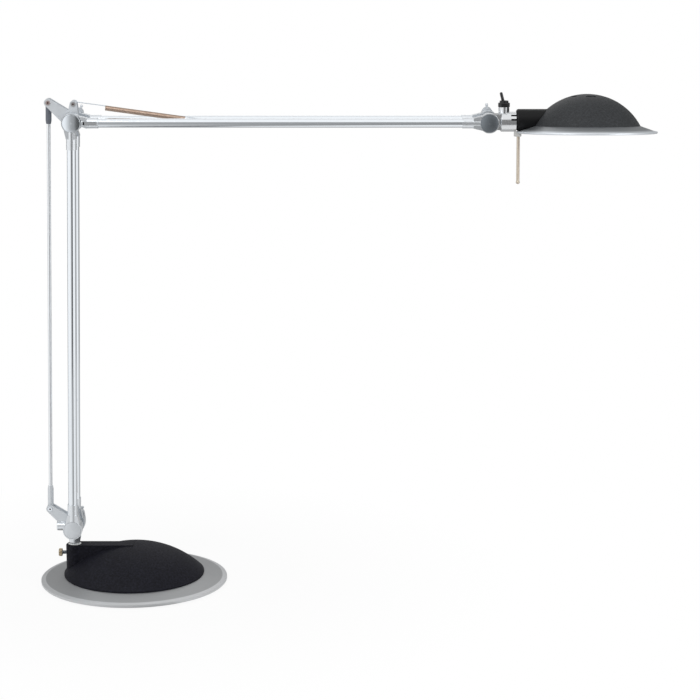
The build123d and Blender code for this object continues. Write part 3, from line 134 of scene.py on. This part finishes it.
class Finish:
    """A node material with one main shader, and short calls for the nodes that feed it."""

    def __init__(self, name, **sockets):
        self.material = bpy.data.materials.new(name)
        self.material.use_nodes = True
        self.tree = self.material.node_tree
        self.shader = self.tree.nodes["Principled BSDF"]
        for socket, value in sockets.items():
            self.shader.inputs[socket.replace("_", " ")].default_value = value
        self.place = self.node("ShaderNodeTexCoord").outputs["Object"]

    def node(self, kind, **settings):
        made = self.tree.nodes.new(kind)
        for key, value in settings.items():
            setattr(made, key, value)
        return made

    def link(self, source, target):
        self.tree.links.new(source, target)

    def stretched(self, scale):
        """Object coordinates scaled by a different amount along each axis."""
        mapping = self.node("ShaderNodeMapping")
        mapping.inputs["Scale"].default_value = scale
        self.link(self.place, mapping.inputs["Vector"])
        return mapping.outputs["Vector"]

    def noise(self, scale, detail=4.0, roughness=0.55, place=None):
        made = self.node("ShaderNodeTexNoise")
        made.inputs["Scale"].default_value = scale
        made.inputs["Detail"].default_value = detail
        made.inputs["Roughness"].default_value = roughness
        self.link(place or self.place, made.inputs["Vector"])
        return made.outputs["Fac"]

    def cells(self, scale):
        made = self.node("ShaderNodeTexVoronoi")
        made.inputs["Scale"].default_value = scale
        self.link(self.place, made.inputs["Vector"])
        return made.outputs["Distance"]

    def reach(self, centre):
        """Distance from an upright line through a point."""
        flat = vector(self.tree, "MULTIPLY_ADD", self.place, (1, 1, 0), (-centre[0], -centre[1], 0))
        return vector(self.tree, "LENGTH", flat["Vector"])["Value"]

    def ramp(self, factor, low, high, start=NOISE_LOW, end=NOISE_HIGH):
        """A colour that runs from low to high as the factor runs from start to end."""
        made = self.node("ShaderNodeValToRGB")
        made.color_ramp.elements[0].position = start
        made.color_ramp.elements[0].color = low
        made.color_ramp.elements[1].position = end
        made.color_ramp.elements[1].color = high
        self.link(factor, made.inputs["Fac"])
        return made.outputs["Color"]

    def colour(self, source):
        self.link(source, self.shader.inputs["Base Color"])

    def rough(self, factor, low, high):
        """Roughness that runs from low to high over the usual values of a noise."""
        source = ranged(self.tree, factor, NOISE_LOW, NOISE_HIGH, low, high)
        self.link(source, self.shader.inputs["Roughness"])

    def bump(self, height, strength, distance, rounding=0.0):
        """Bump from a height, over edges rounded by a small radius."""
        made = self.node("ShaderNodeBump")
        made.inputs["Strength"].default_value = strength
        made.inputs["Distance"].default_value = distance
        self.link(height, made.inputs["Height"])
        if rounding:
            bevel = self.node("ShaderNodeBevel", samples=BEVEL_SAMPLES)
            bevel.inputs["Radius"].default_value = rounding
            self.link(bevel.outputs["Normal"], made.inputs["Normal"])
        self.link(made.outputs["Normal"], self.shader.inputs["Normal"])

    def mixed_shaders(self, factor, first, second):
        """Two shaders mixed by a factor."""
        mix = self.node("ShaderNodeMixShader")
        for socket, feed in zip(mix.inputs, (factor, first, second)):
            self.link(feed, socket)
        return mix.outputs["Shader"]


def grey(value, warmth=0.0):
    """A near-neutral colour, warmer for a positive warmth."""
    return (value * (1 + warmth), value, value * (1 - warmth), 1.0)


def tinted(value, tint):
    """A brightness in a colour given as shares of red, green and blue."""
    return tuple(value * share for share in tint) + (1.0,)


# ---- Finishes ------------------------------------------------------------------------------------
EVEN_GRAIN = (60, 60, 60)
GRAIN_ALONG = 4
GRAIN_ACROSS = 90
FLAKE_SCALE = 3500.0
TINT_CLOUD_SCALE = 900.0


def along_axis(way):
    """Noise scales that stretch the grain along a piece's main direction."""
    return tuple(GRAIN_ALONG if abs(part) > 0.5 else GRAIN_ACROSS for part in way)


def drawn_metal(name, value, roughness, grain=EVEN_GRAIN, warmth=-0.01, rounding=0.2 * MM):
    """Satin metal with fine lines along the axis whose grain scale is low, or clouds on an even grain."""
    made = Finish(name, Metallic=1.0, Roughness=roughness)
    lines = made.noise(40.0, detail=6, place=made.stretched(grain))
    made.colour(made.ramp(lines, low=grey(value * 0.94, warmth), high=grey(value, warmth)))
    made.rough(lines, low=roughness * 0.85, high=roughness * 1.2)
    made.bump(lines, strength=0.02, distance=0.03 * MM, rounding=rounding)
    return made.material


def cast_metal(name, value, roughness, warmth=-0.01, metallic=0.9):
    """Die-cast or bead-blasted metal with a fine even grain."""
    made = Finish(name, Metallic=metallic, Roughness=roughness)
    cloud = made.noise(60.0, detail=2)
    made.colour(made.ramp(cloud, low=grey(value * 0.95, warmth), high=grey(value, warmth)))
    made.rough(cloud, low=roughness * 0.9, high=roughness * 1.1)
    made.bump(made.noise(2600.0, detail=3), strength=0.04, distance=0.04 * MM, rounding=0.3 * MM)
    return made.material


def textured_paint(name, value, tint, grain_scale, strength, speckle, roughness=0.55, gloss=0.2):
    """Dark tinted paint with the pebbled texture of a powder coat and fine light specks."""
    made = Finish(name, Metallic=0.0, Roughness=roughness, Specular_IOR_Level=gloss)
    pebbles = made.cells(grain_scale)
    fine = made.noise(grain_scale * 1.7, detail=4)
    spots = made.noise(grain_scale * 0.55, detail=5, roughness=0.7)
    specks = made.ramp(spots, tinted(value, tint), tinted(value * speckle, tint), start=0.42, end=0.72)
    clouds = made.ramp(made.noise(25.0, detail=2), low=grey(0.86), high=grey(1.0))
    made.colour(mixed(made.tree, 1.0, specks, clouds, "MULTIPLY"))
    made.rough(fine, low=roughness * 0.9, high=roughness * 1.15)
    height = number(made.tree, "ADD", pebbles, fine)
    made.bump(height, strength, distance=0.3 * MM, rounding=0.5 * MM)
    return made.material


def metallic_paint(name, value, roughness, metallic, warmth, highlight_band):
    """Silver paint of tiny flakes that differ in brightness, with a painted highlight: lighter flakes in a band
    near the outer edge.

    The painted highlight is given by its centre, the radius where it starts, the radius where it is full, and its
    value.
    """
    made = Finish(name, Metallic=metallic, Roughness=roughness)
    flakes = made.noise(FLAKE_SCALE, detail=2)
    field = made.ramp(flakes, low=grey(value * 0.86, warmth), high=grey(value * 1.08, warmth))
    centre, start, full, highlight_value = highlight_band
    # Painted highlight: the flakes turn lighter in the outer band, where the rounded edge catches the light.
    edge = made.ramp(flakes, low=grey(highlight_value * 0.93, warmth), high=grey(highlight_value, warmth))
    made.colour(mixed(made.tree, ranged(made.tree, made.reach(centre), start, full), field, edge))
    made.rough(flakes, low=roughness * 0.9, high=roughness * 1.15)
    made.bump(flakes, strength=0.10, distance=0.06 * MM, rounding=0.3 * MM)
    return made.material


def plastic(name, colour, roughness, grain_scale=1800.0, strength=0.08):
    """Moulded plastic or rubber with a fine grain."""
    made = Finish(name, Roughness=roughness)
    grain = made.noise(grain_scale, detail=3)
    made.colour(made.ramp(grain, low=tinted(0.88, colour[:3]), high=colour))
    made.rough(grain, low=roughness * 0.9, high=roughness * 1.12)
    made.bump(grain, strength, distance=0.1 * MM, rounding=0.2 * MM)
    return made.material


def coloured_metal(name, low, high, roughness):
    """Brass, copper or other tinted metal with slightly uneven tone."""
    made = Finish(name, Metallic=1.0, Roughness=roughness)
    tone = made.noise(TINT_CLOUD_SCALE, detail=4)
    made.colour(made.ramp(tone, low, high))
    made.rough(tone, low=roughness * 0.85, high=roughness * 1.2)
    made.bump(tone, strength=0.06, distance=0.06 * MM, rounding=0.1 * MM)
    return made.material


def pin_metal(name, split_x):
    """Copper-coloured metal left of an upright plane, and steel right of it."""
    made = Finish(name, Metallic=1.0, Roughness=0.3)
    tone = made.noise(TINT_CLOUD_SCALE, detail=4)
    halves = made.node("ShaderNodeSeparateXYZ")
    made.link(made.place, halves.inputs[0])
    right = ranged(made.tree, halves.outputs["X"], split_x, split_x + 0.1 * MM)
    copper = made.ramp(tone, low=(0.46, 0.36, 0.34, 1), high=(0.66, 0.56, 0.54, 1))
    steel = made.ramp(tone, low=grey(0.42), high=grey(0.55))
    made.colour(mixed(made.tree, right, copper, steel))
    made.rough(tone, low=0.26, high=0.36)
    made.bump(tone, strength=0.06, distance=0.06 * MM, rounding=0.1 * MM)
    return made.material


def clear_glass(name):
    """Thin clear glass, with a faint unevenness in its gloss."""
    made = Finish(name, Base_Color=(0.96, 0.98, 0.98, 1), Roughness=0.02, IOR=1.45, Transmission_Weight=1.0)
    made.rough(made.noise(120.0, detail=2), low=0.01, high=0.05)
    return made.material


def reflector_metal(name, centre):
    """Bright and smooth inside; dark grey and rough on the side that faces away from the lamp."""
    made = Finish(name, Metallic=1.0, Roughness=0.2)
    normal = made.node("ShaderNodeNewGeometry").outputs["Normal"]
    away = vector(made.tree, "SUBTRACT", made.place, centre)["Vector"]
    facing = vector(made.tree, "DOT_PRODUCT", away, normal)["Value"]
    outside = number(made.tree, "GREATER_THAN", facing, 0.0)
    made.colour(made.ramp(outside, low=grey(0.88), high=grey(0.12), start=0.4, end=0.6))
    made.rough(outside, low=0.16, high=0.6)
    made.bump(made.noise(700.0, detail=2), strength=0.15, distance=0.2 * MM)
    return made.material


# Painted highlights: a lighter band painted on the plate's rounded outer edge, and a painted reflection of the
# pale floor on the brim's lip.
# Each is given by its centre, the radius where the band starts, the radius where it is full, and its value.
PLATE_HIGHLIGHT = (PLATE, PLATE_RADIUS - 5.2 * MM, PLATE_RADIUS - 4.6 * MM, 0.60)
BRIM_HIGHLIGHT = (BRIM, BRIM_RADIUS - 8.0 * MM, BRIM_RADIUS - 2.0 * MM, 0.86)

FINISHES = {
    "silver_fitting": cast_metal("silver_fitting", value=0.84, roughness=0.30, warmth=-0.04),
    "bracket_grey": cast_metal("bracket_grey", value=0.74, roughness=0.42, warmth=-0.045, metallic=0.45),
    "polished_steel": drawn_metal("polished_steel", value=0.90, roughness=0.15, warmth=-0.06),
    "black_texture": textured_paint(
        "black_texture", value=0.0052, tint=(1.0, 1.02, 1.6), grain_scale=900.0, strength=0.5,
        speckle=3.4, gloss=0.12,
    ),
    "plate_silver": metallic_paint(
        "plate_silver", value=0.36, roughness=0.45, metallic=0.5, warmth=-0.02, highlight_band=PLATE_HIGHLIGHT
    ),
    "shade_dark": textured_paint(
        "shade_dark", value=0.023, tint=(0.92, 1.0, 1.10), grain_scale=1000.0, strength=0.5,
        speckle=2.4, gloss=0.3,
    ),
    "neck_black": textured_paint(
        "neck_black", value=0.004, tint=(0.95, 1.0, 1.1), grain_scale=1800.0, strength=0.2,
        speckle=2.0, roughness=0.45,
    ),
    "brim_silver": metallic_paint(
        "brim_silver", value=0.26, roughness=0.34, metallic=0.6, warmth=-0.05, highlight_band=BRIM_HIGHLIGHT
    ),
    "brass": coloured_metal("brass", (0.30, 0.24, 0.16, 1), (0.56, 0.48, 0.35, 1), roughness=0.38),
    "copper_wire": coloured_metal(
        "copper_wire", (0.42, 0.31, 0.24, 1), (0.66, 0.52, 0.43, 1), roughness=0.36
    ),
    "rubber": plastic("rubber", (0.025, 0.025, 0.025, 1), roughness=0.8, grain_scale=900.0, strength=0.3),
    "ballast_iron": cast_metal("ballast_iron", value=0.12, roughness=0.7, metallic=0.6),
    "core_wound": plastic(
        "core_wound", (0.55, 0.42, 0.12, 1), roughness=0.4, grain_scale=500.0, strength=0.2
    ),
    "nylon": plastic("nylon", (0.82, 0.82, 0.79, 1), roughness=0.45),
    "dark_fitting": plastic("dark_fitting", (0.14, 0.155, 0.185, 1), roughness=0.4),
    "black_plastic": plastic("black_plastic", (0.010, 0.010, 0.011, 1), roughness=0.3),
    "ceramic": plastic(
        "ceramic", (0.86, 0.84, 0.79, 1), roughness=0.7, grain_scale=1200.0, strength=0.15
    ),
    "reflector_metal": reflector_metal("reflector_metal", middle("safety_glass")),
    "clear_glass": clear_glass("clear_glass"),
    "handle_tan": coloured_metal(
        "handle_tan", (0.60, 0.52, 0.42, 1), (0.76, 0.68, 0.58, 1), roughness=0.38
    ),
    "clip_light": plastic("clip_light", (0.72, 0.72, 0.70, 1), roughness=0.35),
}
TUBE_FINISH = {
    "lower": drawn_metal("tube_lower", 0.93, roughness=0.12, grain=along_axis(LOWER_WAY), warmth=-0.045),
    "upper": drawn_metal("tube_upper", 0.93, roughness=0.12, grain=along_axis(UPPER_WAY), warmth=-0.045),
    "link": drawn_metal(
        "tube_link", 0.95, roughness=0.30, grain=along_axis(LOWER_WAY), warmth=-0.03, rounding=0.0
    ),
}
BLUED_STEEL = drawn_metal("blued_steel", value=0.30, roughness=0.34, warmth=-0.10)
SLOT_SHADE_GREY = drawn_metal("slot_shade_grey", 0.55, roughness=0.4, grain=along_axis(UPPER_WAY), warmth=-0.03)
DARK_RED = coloured_metal("dark_red", (0.05, 0.02, 0.018, 1), (0.11, 0.05, 0.045, 1), roughness=0.5)

# The pin in the elbow's lever lies left of this plane, and the pin in its lobe right of it.
PIN_SPLIT = ELBOW.x - 10 * MM
NODE_FINISH = {
    "head_hub": drawn_metal("turned_silver", 0.78, roughness=0.17, grain=along_axis(UP), warmth=-0.02),
    "head_bolt": BLUED_STEEL,
    "shoulder_pins": FINISHES["polished_steel"],
    "elbow_pins": pin_metal("pin_copper", PIN_SPLIT),
}

for name, node in NODES.items():
    slot = SLOT_OF[name]
    finish = TUBE_FINISH[name.split("_")[0]] if slot == "silver_tube" else FINISHES[slot]
    node.data.materials.clear()
    node.data.materials.append(NODE_FINISH.get(name, finish))

# ---- Helpers for modelled pieces -----------------------------------------------------------------
SHARP_ANGLE = 32             # degrees between faces, above which an edge stays sharp
TOOTH_SIDES = 4              # sides of a lathe's ring in one tooth, the first two of them lower


def place_piece(name, data, body):
    """An object in the scene that rides on a body."""
    piece = bpy.data.objects.new(name, data)
    bpy.context.scene.collection.objects.link(piece)
    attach(piece, body)
    return piece


def add_piece(name, mesh, body, slot, finish=None):
    """A smooth mesh piece, in its slot's finish unless another is given."""
    mesh.shade_smooth()
    mesh.set_sharp_from_angle(angle=radians(SHARP_ANGLE))
    mesh.materials.append(finish or FINISHES[slot])
    return place_piece(name, mesh, body)


def as_mesh(name, shape):
    """The mesh of a bmesh, which is freed."""
    mesh = bpy.data.meshes.new(name)
    shape.to_mesh(mesh)
    shape.free()
    return mesh


def side_ways(way):
    """Two directions square to a direction and to each other."""
    first = way.cross(UP if abs(way.z) < 0.9 else RIGHT).normalized()
    return first, way.cross(first).normalized()


def lathe(name, origin, way, profile, sides, ridged=(), ridge_depth=0.0):
    """A turned mesh: the profile's points are millimetres along the way and millimetres of radius.

    Points whose place in the profile is in ridged get teeth, such as a knurl.
    """
    first, second = side_ways(way)
    rings = []
    shape = bmesh.new()
    for index, (along, radius) in enumerate(profile):
        ring = []
        for step in range(sides):
            turn = 2 * pi * step / sides
            tooth = ridge_depth if index in ridged and step % TOOTH_SIDES < 2 else 0.0
            reach = radius * MM - tooth
            across = first * (reach * cos(turn)) + second * (reach * sin(turn))
            ring.append(shape.verts.new(origin + way * (along * MM) + across))
        rings.append(ring)
    for before, after in zip(rings, rings[1:]):
        for step in range(sides):
            following = (step + 1) % sides
            shape.faces.new((before[step], before[following], after[following], after[step]))
    shape.faces.new(rings[0][::-1])
    shape.faces.new(rings[-1])
    bmesh.ops.recalc_face_normals(shape, faces=shape.faces)
    return as_mesh(name, shape)


def wire_piece(name, runs, radius, body):
    """A wire of one or more runs, each a list of points and a finish, as a curve with a round section."""
    data = bpy.data.curves.new(name, "CURVE")
    data.dimensions = "3D"
    data.bevel_depth = radius
    data.bevel_resolution = 3
    data.use_fill_caps = True
    for index, (points, finish) in enumerate(runs):
        spline = data.splines.new("POLY")
        spline.points.add(len(points) - 1)
        for point, place in zip(spline.points, points):
            point.co = (*place, 1.0)
        spline.use_smooth = True
        data.materials.append(finish)
        spline.material_index = index
    return place_piece(name, data, body)


# ---- Springs -------------------------------------------------------------------------------------
WIRE_RADIUS = 0.55 * MM
COIL_RADIUS = 2.25 * MM
COIL_LENGTH = 84 * MM
COIL_TURNS = 74
TURN_STEPS = 20
HOOK_STEPS = 16
# Where each hook starts and ends, in degrees from the spring's way towards its upper side.
NEAR_HOOK = (-45, -270)
FAR_HOOK = (90, -135)
ANCHOR_DISTANCE = 138 * MM
LOBE = Vector((1.2, 0, 18.8)) * MM
# Distance from the lobe's pin to the coil, bridged by a straight leg.
LOWER_LEAD = 18.0 * MM
UPPER_LEAD = 33.2 * MM
PLUG_PROFILE = [(0, 0.3), (0, 2.3), (1.2, 2.5), (5.0, 2.3), (7.0, 1.4), (7.0, 0.3)]
PLUG_SIDES = 32


def make_spring(name, pivot, way, lead, body):
    """A close-wound extension spring from a bracket's lobe to the anchor pin in its arm."""
    pin = pivot + LOBE
    far = pivot + way * ANCHOR_DISTANCE
    ahead = (far - pin).normalized()
    above = FRONT.cross(ahead)
    span = (far - pin).length

    def place(u, v, w):
        return pin + ahead * u + above * v + FRONT * w

    def hook(centre, start, end):
        for step in range(HOOK_STEPS + 1):
            turn = radians(start + (end - start) * step / HOOK_STEPS)
            yield place(centre + COIL_RADIUS * cos(turn), COIL_RADIUS * sin(turn), 0)

    coil = []
    total = COIL_TURNS * TURN_STEPS
    for step in range(total + 1):
        turn = pi / 2 + 2 * pi * step / TURN_STEPS
        u = lead + COIL_LENGTH * step / total
        coil.append(place(u, COIL_RADIUS * sin(turn), COIL_RADIUS * cos(turn)))
    leg = [*hook(0, *NEAR_HOOK), coil[0]]
    tail = [coil[-1], *hook(span, *FAR_HOOK)]
    steel = FINISHES["polished_steel"]
    runs = [(coil, FINISHES["copper_wire"]), (leg, steel), (tail, steel)]
    spring = wire_piece(name, runs, WIRE_RADIUS, body)
    plug_start = place(lead + COIL_LENGTH, 0, 0)
    mesh = lathe(name + "_end", plug_start, ahead, PLUG_PROFILE, PLUG_SIDES)
    add_piece(name + "_end", mesh, body, "silver_fitting")
    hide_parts(name)


make_spring("lower_spring", SHOULDER, LOWER_WAY, LOWER_LEAD, "lower_arm")
make_spring("upper_spring", ELBOW, UPPER_WAY, UPPER_LEAD, "upper_arm")

# ---- Thumb screw ---------------------------------------------------------------------------------
KNOB_PROFILE = [(0, 0.3), (0.35, 1.9), (0, 2.3), (0, 3.6), (0.5, 4.3), (3.3, 4.3), (3.8, 3.7), (3.8, 0.3)]
KNURLED = (4, 5)             # places in the knob's profile
KNURL_TEETH = 26
KNURL_DEPTH = 0.3 * MM
# The stem, in millimetres from the knob's outer face and of radius.
STEM_START = 3.6
STEM_CENTRE = 0.3
STEM_TIP = 1.5
STEM_SIDES = 32
THREAD_START = 4.0
THREAD_PITCH = 0.6
THREAD_CREST = 2.0
THREAD_ROOT = 1.72
THREAD_END_GAP = 0.8


def make_thumb_screw():
    """The knurled head and threaded stem of the swivel's thumb screw."""
    low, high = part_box("thumb_screw")
    centre = middle("thumb_screw")
    origin = Vector((low.x, centre.y, centre.z))
    length = (high.x - low.x) / MM
    sides = KNURL_TEETH * TOOTH_SIDES
    mesh = lathe("thumb_head", origin, RIGHT, KNOB_PROFILE, sides, KNURLED, KNURL_DEPTH)
    knob = add_piece("thumb_head", mesh, "thumb", "brass")
    stem = [(STEM_START, STEM_CENTRE), (STEM_START, THREAD_CREST)]
    along = THREAD_START
    while along < length - THREAD_END_GAP:
        stem += [(along, THREAD_CREST), (along + THREAD_PITCH / 2, THREAD_ROOT)]
        along += THREAD_PITCH
    stem += [(length, STEM_TIP), (length, STEM_CENTRE)]
    mesh = lathe("thumb_stem", origin, RIGHT, stem, STEM_SIDES)
    add_piece("thumb_stem", mesh, "thumb", "black_plastic", BLUED_STEEL)
    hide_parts("thumb_screw")


make_thumb_screw()

# ---- Pin centres ---------------------------------------------------------------------------------
PIN_PROFILE = [(-0.3, 0.1), (-0.3, 0.95), (0.04, 0.95), (0.12, 0.7), (0.05, 0.3), (0.02, 0.05)]
PIN_SIDES = 24


def make_pin_centre(name, centre, node, body):
    """The small dark centre on the front end of a pin that lies across the arms."""
    origin = Vector((centre.x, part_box(node)[0].y, centre.z))
    mesh = lathe(name, origin, FRONT, PIN_PROFILE, PIN_SIDES)
    add_piece(name, mesh, body, "dark_fitting", DARK_RED)


make_pin_centre("shoulder_pin_centre", LEVER_PIN, "shoulder_pins", "swivel")
make_pin_centre("elbow_pin_centre", LEVER_PIN + ELBOW - SHOULDER, "elbow_pins", "elbow_bracket")
make_pin_centre("elbow_lobe_centre", ELBOW + LOBE, "elbow_pins", "elbow_bracket")

# ---- Painted shade in the upper arm's clamp slot -------------------------------------------------
EDGE_SHARE = 0.3             # a shade plate's bevel, as a share of its thickness
SLEEVE_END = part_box("upper_root_end_front")[1].x
TUBE_FRONT = middle("upper_tube_front").y
SLOT_FLOOR = Vector((SLEEVE_END - 7.65 * MM, TUBE_FRONT - 5.04 * MM, ELBOW.z))
SLOT_SIZE = (12.5 * MM, 0.1 * MM, 4.0 * MM)
POCKET_FLOOR = Vector((SLEEVE_END - 14.9 * MM, TUBE_FRONT - 4.0 * MM, ELBOW.z))
POCKET_SIZE = (1.7 * MM, 0.1 * MM, 3.7 * MM)


def make_shade_plate(name, centre, size, body, slot, finish=None):
    """A thin plate with rounded edges, set flat in a recess of the arm's front, whose dark finish is painted
    shade.
    """
    shape = bmesh.new()
    bmesh.ops.create_cube(shape, size=1.0)
    bmesh.ops.scale(shape, vec=size, verts=shape.verts)
    rounding = min(size) * EDGE_SHARE
    bmesh.ops.bevel(shape, geom=shape.edges[:], offset=rounding, segments=2, affect="EDGES")
    bmesh.ops.translate(shape, vec=centre, verts=shape.verts)
    add_piece(name, as_mesh(name, shape), body, slot, finish)


# Painted shade: a grey plate on the slot's floor, darker than the tube around it.
make_shade_plate("slot_floor_shade", SLOT_FLOOR, SLOT_SIZE, "upper_arm", "polished_steel", SLOT_SHADE_GREY)
# Painted shadow: a black plate in the deeper pocket at the slot's end.
make_shade_plate("slot_pocket_shadow", POCKET_FLOOR, POCKET_SIZE, "upper_arm", "black_plastic")

# ---- Camera and lamps ----------------------------------------------------------------------------
SENSOR_WIDTH = 36.0          # millimetres
LENS = 118.29                # millimetres
CAMERA_PLACE = (0.235556, -2.411787, 0.758171)
CAMERA_TURN = 78.264         # degrees up from straight down

camera = bpy.data.objects.new("camera", bpy.data.cameras.new("camera"))
camera.data.sensor_width = SENSOR_WIDTH
camera.data.lens = LENS
camera.location = CAMERA_PLACE
camera.rotation_euler = (radians(CAMERA_TURN), 0, 0)
bpy.context.scene.collection.objects.link(camera)
bpy.context.scene.camera = camera
bpy.context.scene.view_settings.view_transform = "Standard"


def soft_light(name, place, target, size, power):
    """A square soft lamp that faces a target."""
    data = bpy.data.lights.new(name, "AREA")
    data.shape = "SQUARE"
    data.size = size
    data.energy = power
    lamp = bpy.data.objects.new(name, data)
    lamp.location = place
    lamp.rotation_euler = (Vector(target) - Vector(place)).to_track_quat("-Z", "Y").to_euler()
    bpy.context.scene.collection.objects.link(lamp)


soft_light("key", place=(-0.9, -1.3, 1.9), target=(0.15, 0, 0.3), size=1.1, power=14)
soft_light("fill", place=(1.9, -1.0, 1.1), target=(0.2, 0, 0.3), size=1.0, power=9)
soft_light("back", place=(0.2, 1.8, 1.6), target=(0.2, 0, 0.3), size=1.4, power=5)

# ---- Studio --------------------------------------------------------------------------------------
# Brightness of the studio by the direction from the front, in degrees towards +X.
STUDIO = (
    (-180, 0.36),
    (-150, 0.30),
    (-122, 0.28),
    (-112, 1.00),
    (-24, 1.00),
    (-8, 0.42),
    (3, 0.32),
    (9, 0.10),
    (29, 0.10),
    (36, 1.00),
    (84, 1.00),
    (100, 0.45),
    (150, 0.30),
    (180, 0.36),
)
# The white cloth overhead hangs a little to the front. Its edge fades in between two cosines.
CLOTH_WAY = (0, -0.292, 0.956)
CLOTH_EDGE = (0.62, 0.76)
ROOM_LIGHT = 0.6


def studio_cards(tree, way):
    """Brightness of the studio in a direction, or at a place on the floor."""
    split = tree.nodes.new("ShaderNodeSeparateXYZ")
    tree.links.new(way, split.inputs[0])
    forward = number(tree, "MULTIPLY", split.outputs["Y"], -1.0)
    turn = number(tree, "ARCTAN2", split.outputs["X"], forward)
    cards = tree.nodes.new("ShaderNodeValToRGB")
    stops = cards.color_ramp.elements
    for angle, value in STUDIO[1:-1]:
        stops.new((angle + 180) / 360).color = grey(value)
    stops[0].color = grey(STUDIO[0][1])
    stops[len(stops) - 1].color = grey(STUDIO[-1][1])
    tree.links.new(number(tree, "MULTIPLY_ADD", turn, 1 / (2 * pi), 0.5), cards.inputs["Fac"])
    return cards.outputs["Color"]


def make_world():
    """White to the camera, a plain soft light on the object, and dark cards that only gloss shows."""
    world = bpy.data.worlds.new("studio")
    bpy.context.scene.world = world
    world.use_nodes = True
    world.cycles.sampling_method = "NONE"
    tree = world.node_tree
    background = tree.nodes["Background"]
    background.inputs["Color"].default_value = grey(1.0)
    path = tree.nodes.new("ShaderNodeLightPath").outputs
    way = tree.nodes.new("ShaderNodeTexCoord").outputs["Generated"]
    overhead = vector(tree, "DOT_PRODUCT", way, CLOTH_WAY)["Value"]
    seen = number(tree, "MAXIMUM", studio_cards(tree, way), ranged(tree, overhead, *CLOTH_EDGE))
    shiny = number(tree, "MAXIMUM", path["Is Glossy Ray"], path["Is Transmission Ray"])
    extra = number(tree, "MULTIPLY", shiny, number(tree, "SUBTRACT", seen, ROOM_LIGHT))
    strength = number(tree, "MAXIMUM", path["Is Camera Ray"], number(tree, "ADD", extra, ROOM_LIGHT))
    tree.links.new(strength, background.inputs["Strength"])


make_world()

# ---- Floor ---------------------------------------------------------------------------------------
FLOOR_RADIUS = 1.05
FLOOR_SIDES = 96
FLOOR_DROP = 0.3 * MM        # below the pad, so that the two don't share a plane
# In reflections the floor shows a share of the studio's cards, on top of a least brightness.
CARD_SHARE = 0.65
LEAST_GLOSS = 0.27
# Near the plate a small share of the floor's light is shaded. It fades out between two distances.
GLOW_NEAR = 0.90
SHADOW_FADE = (0.16, 0.42)


def make_floor():
    """A pale round floor that stays white to the camera but keeps a soft shadow near the base."""
    shape = bmesh.new()
    bmesh.ops.create_circle(shape, cap_ends=True, segments=FLOOR_SIDES, radius=FLOOR_RADIUS)
    floor = bpy.data.objects.new("floor", as_mesh("floor", shape))
    bpy.context.scene.collection.objects.link(floor)
    made = Finish("floor", Roughness=0.9, Specular_IOR_Level=0.1)
    made.colour(made.ramp(made.noise(3.0, detail=2), low=grey(0.86), high=grey(0.88)))
    tree = made.tree
    path = made.node("ShaderNodeLightPath").outputs
    gloss = number(tree, "MULTIPLY_ADD", studio_cards(tree, made.place), CARD_SHARE, LEAST_GLOSS)
    direct = number(tree, "MAXIMUM", path["Is Camera Ray"], path["Is Transmission Ray"])
    glow = made.node("ShaderNodeEmission")
    made.link(number(tree, "MAXIMUM", direct, gloss), glow.inputs["Strength"])
    shown = number(tree, "MAXIMUM", direct, path["Is Glossy Ray"])
    far = ranged(tree, made.reach(PLATE), *SHADOW_FADE, GLOW_NEAR, 1.0)
    share = number(tree, "MULTIPLY", shown, far)
    upper = made.mixed_shaders(share, made.shader.outputs["BSDF"], glow.outputs["Emission"])
    # From below, the floor lets the underside be seen.
    behind = made.node("ShaderNodeNewGeometry").outputs["Backfacing"]
    see_through = made.node("ShaderNodeBsdfTransparent").outputs["BSDF"]
    surface = made.mixed_shaders(behind, upper, see_through)
    made.link(surface, tree.nodes["Material Output"].inputs["Surface"])
    floor.data.materials.append(made.material)
    floor.location.z = -FLOOR_DROP


make_floor()
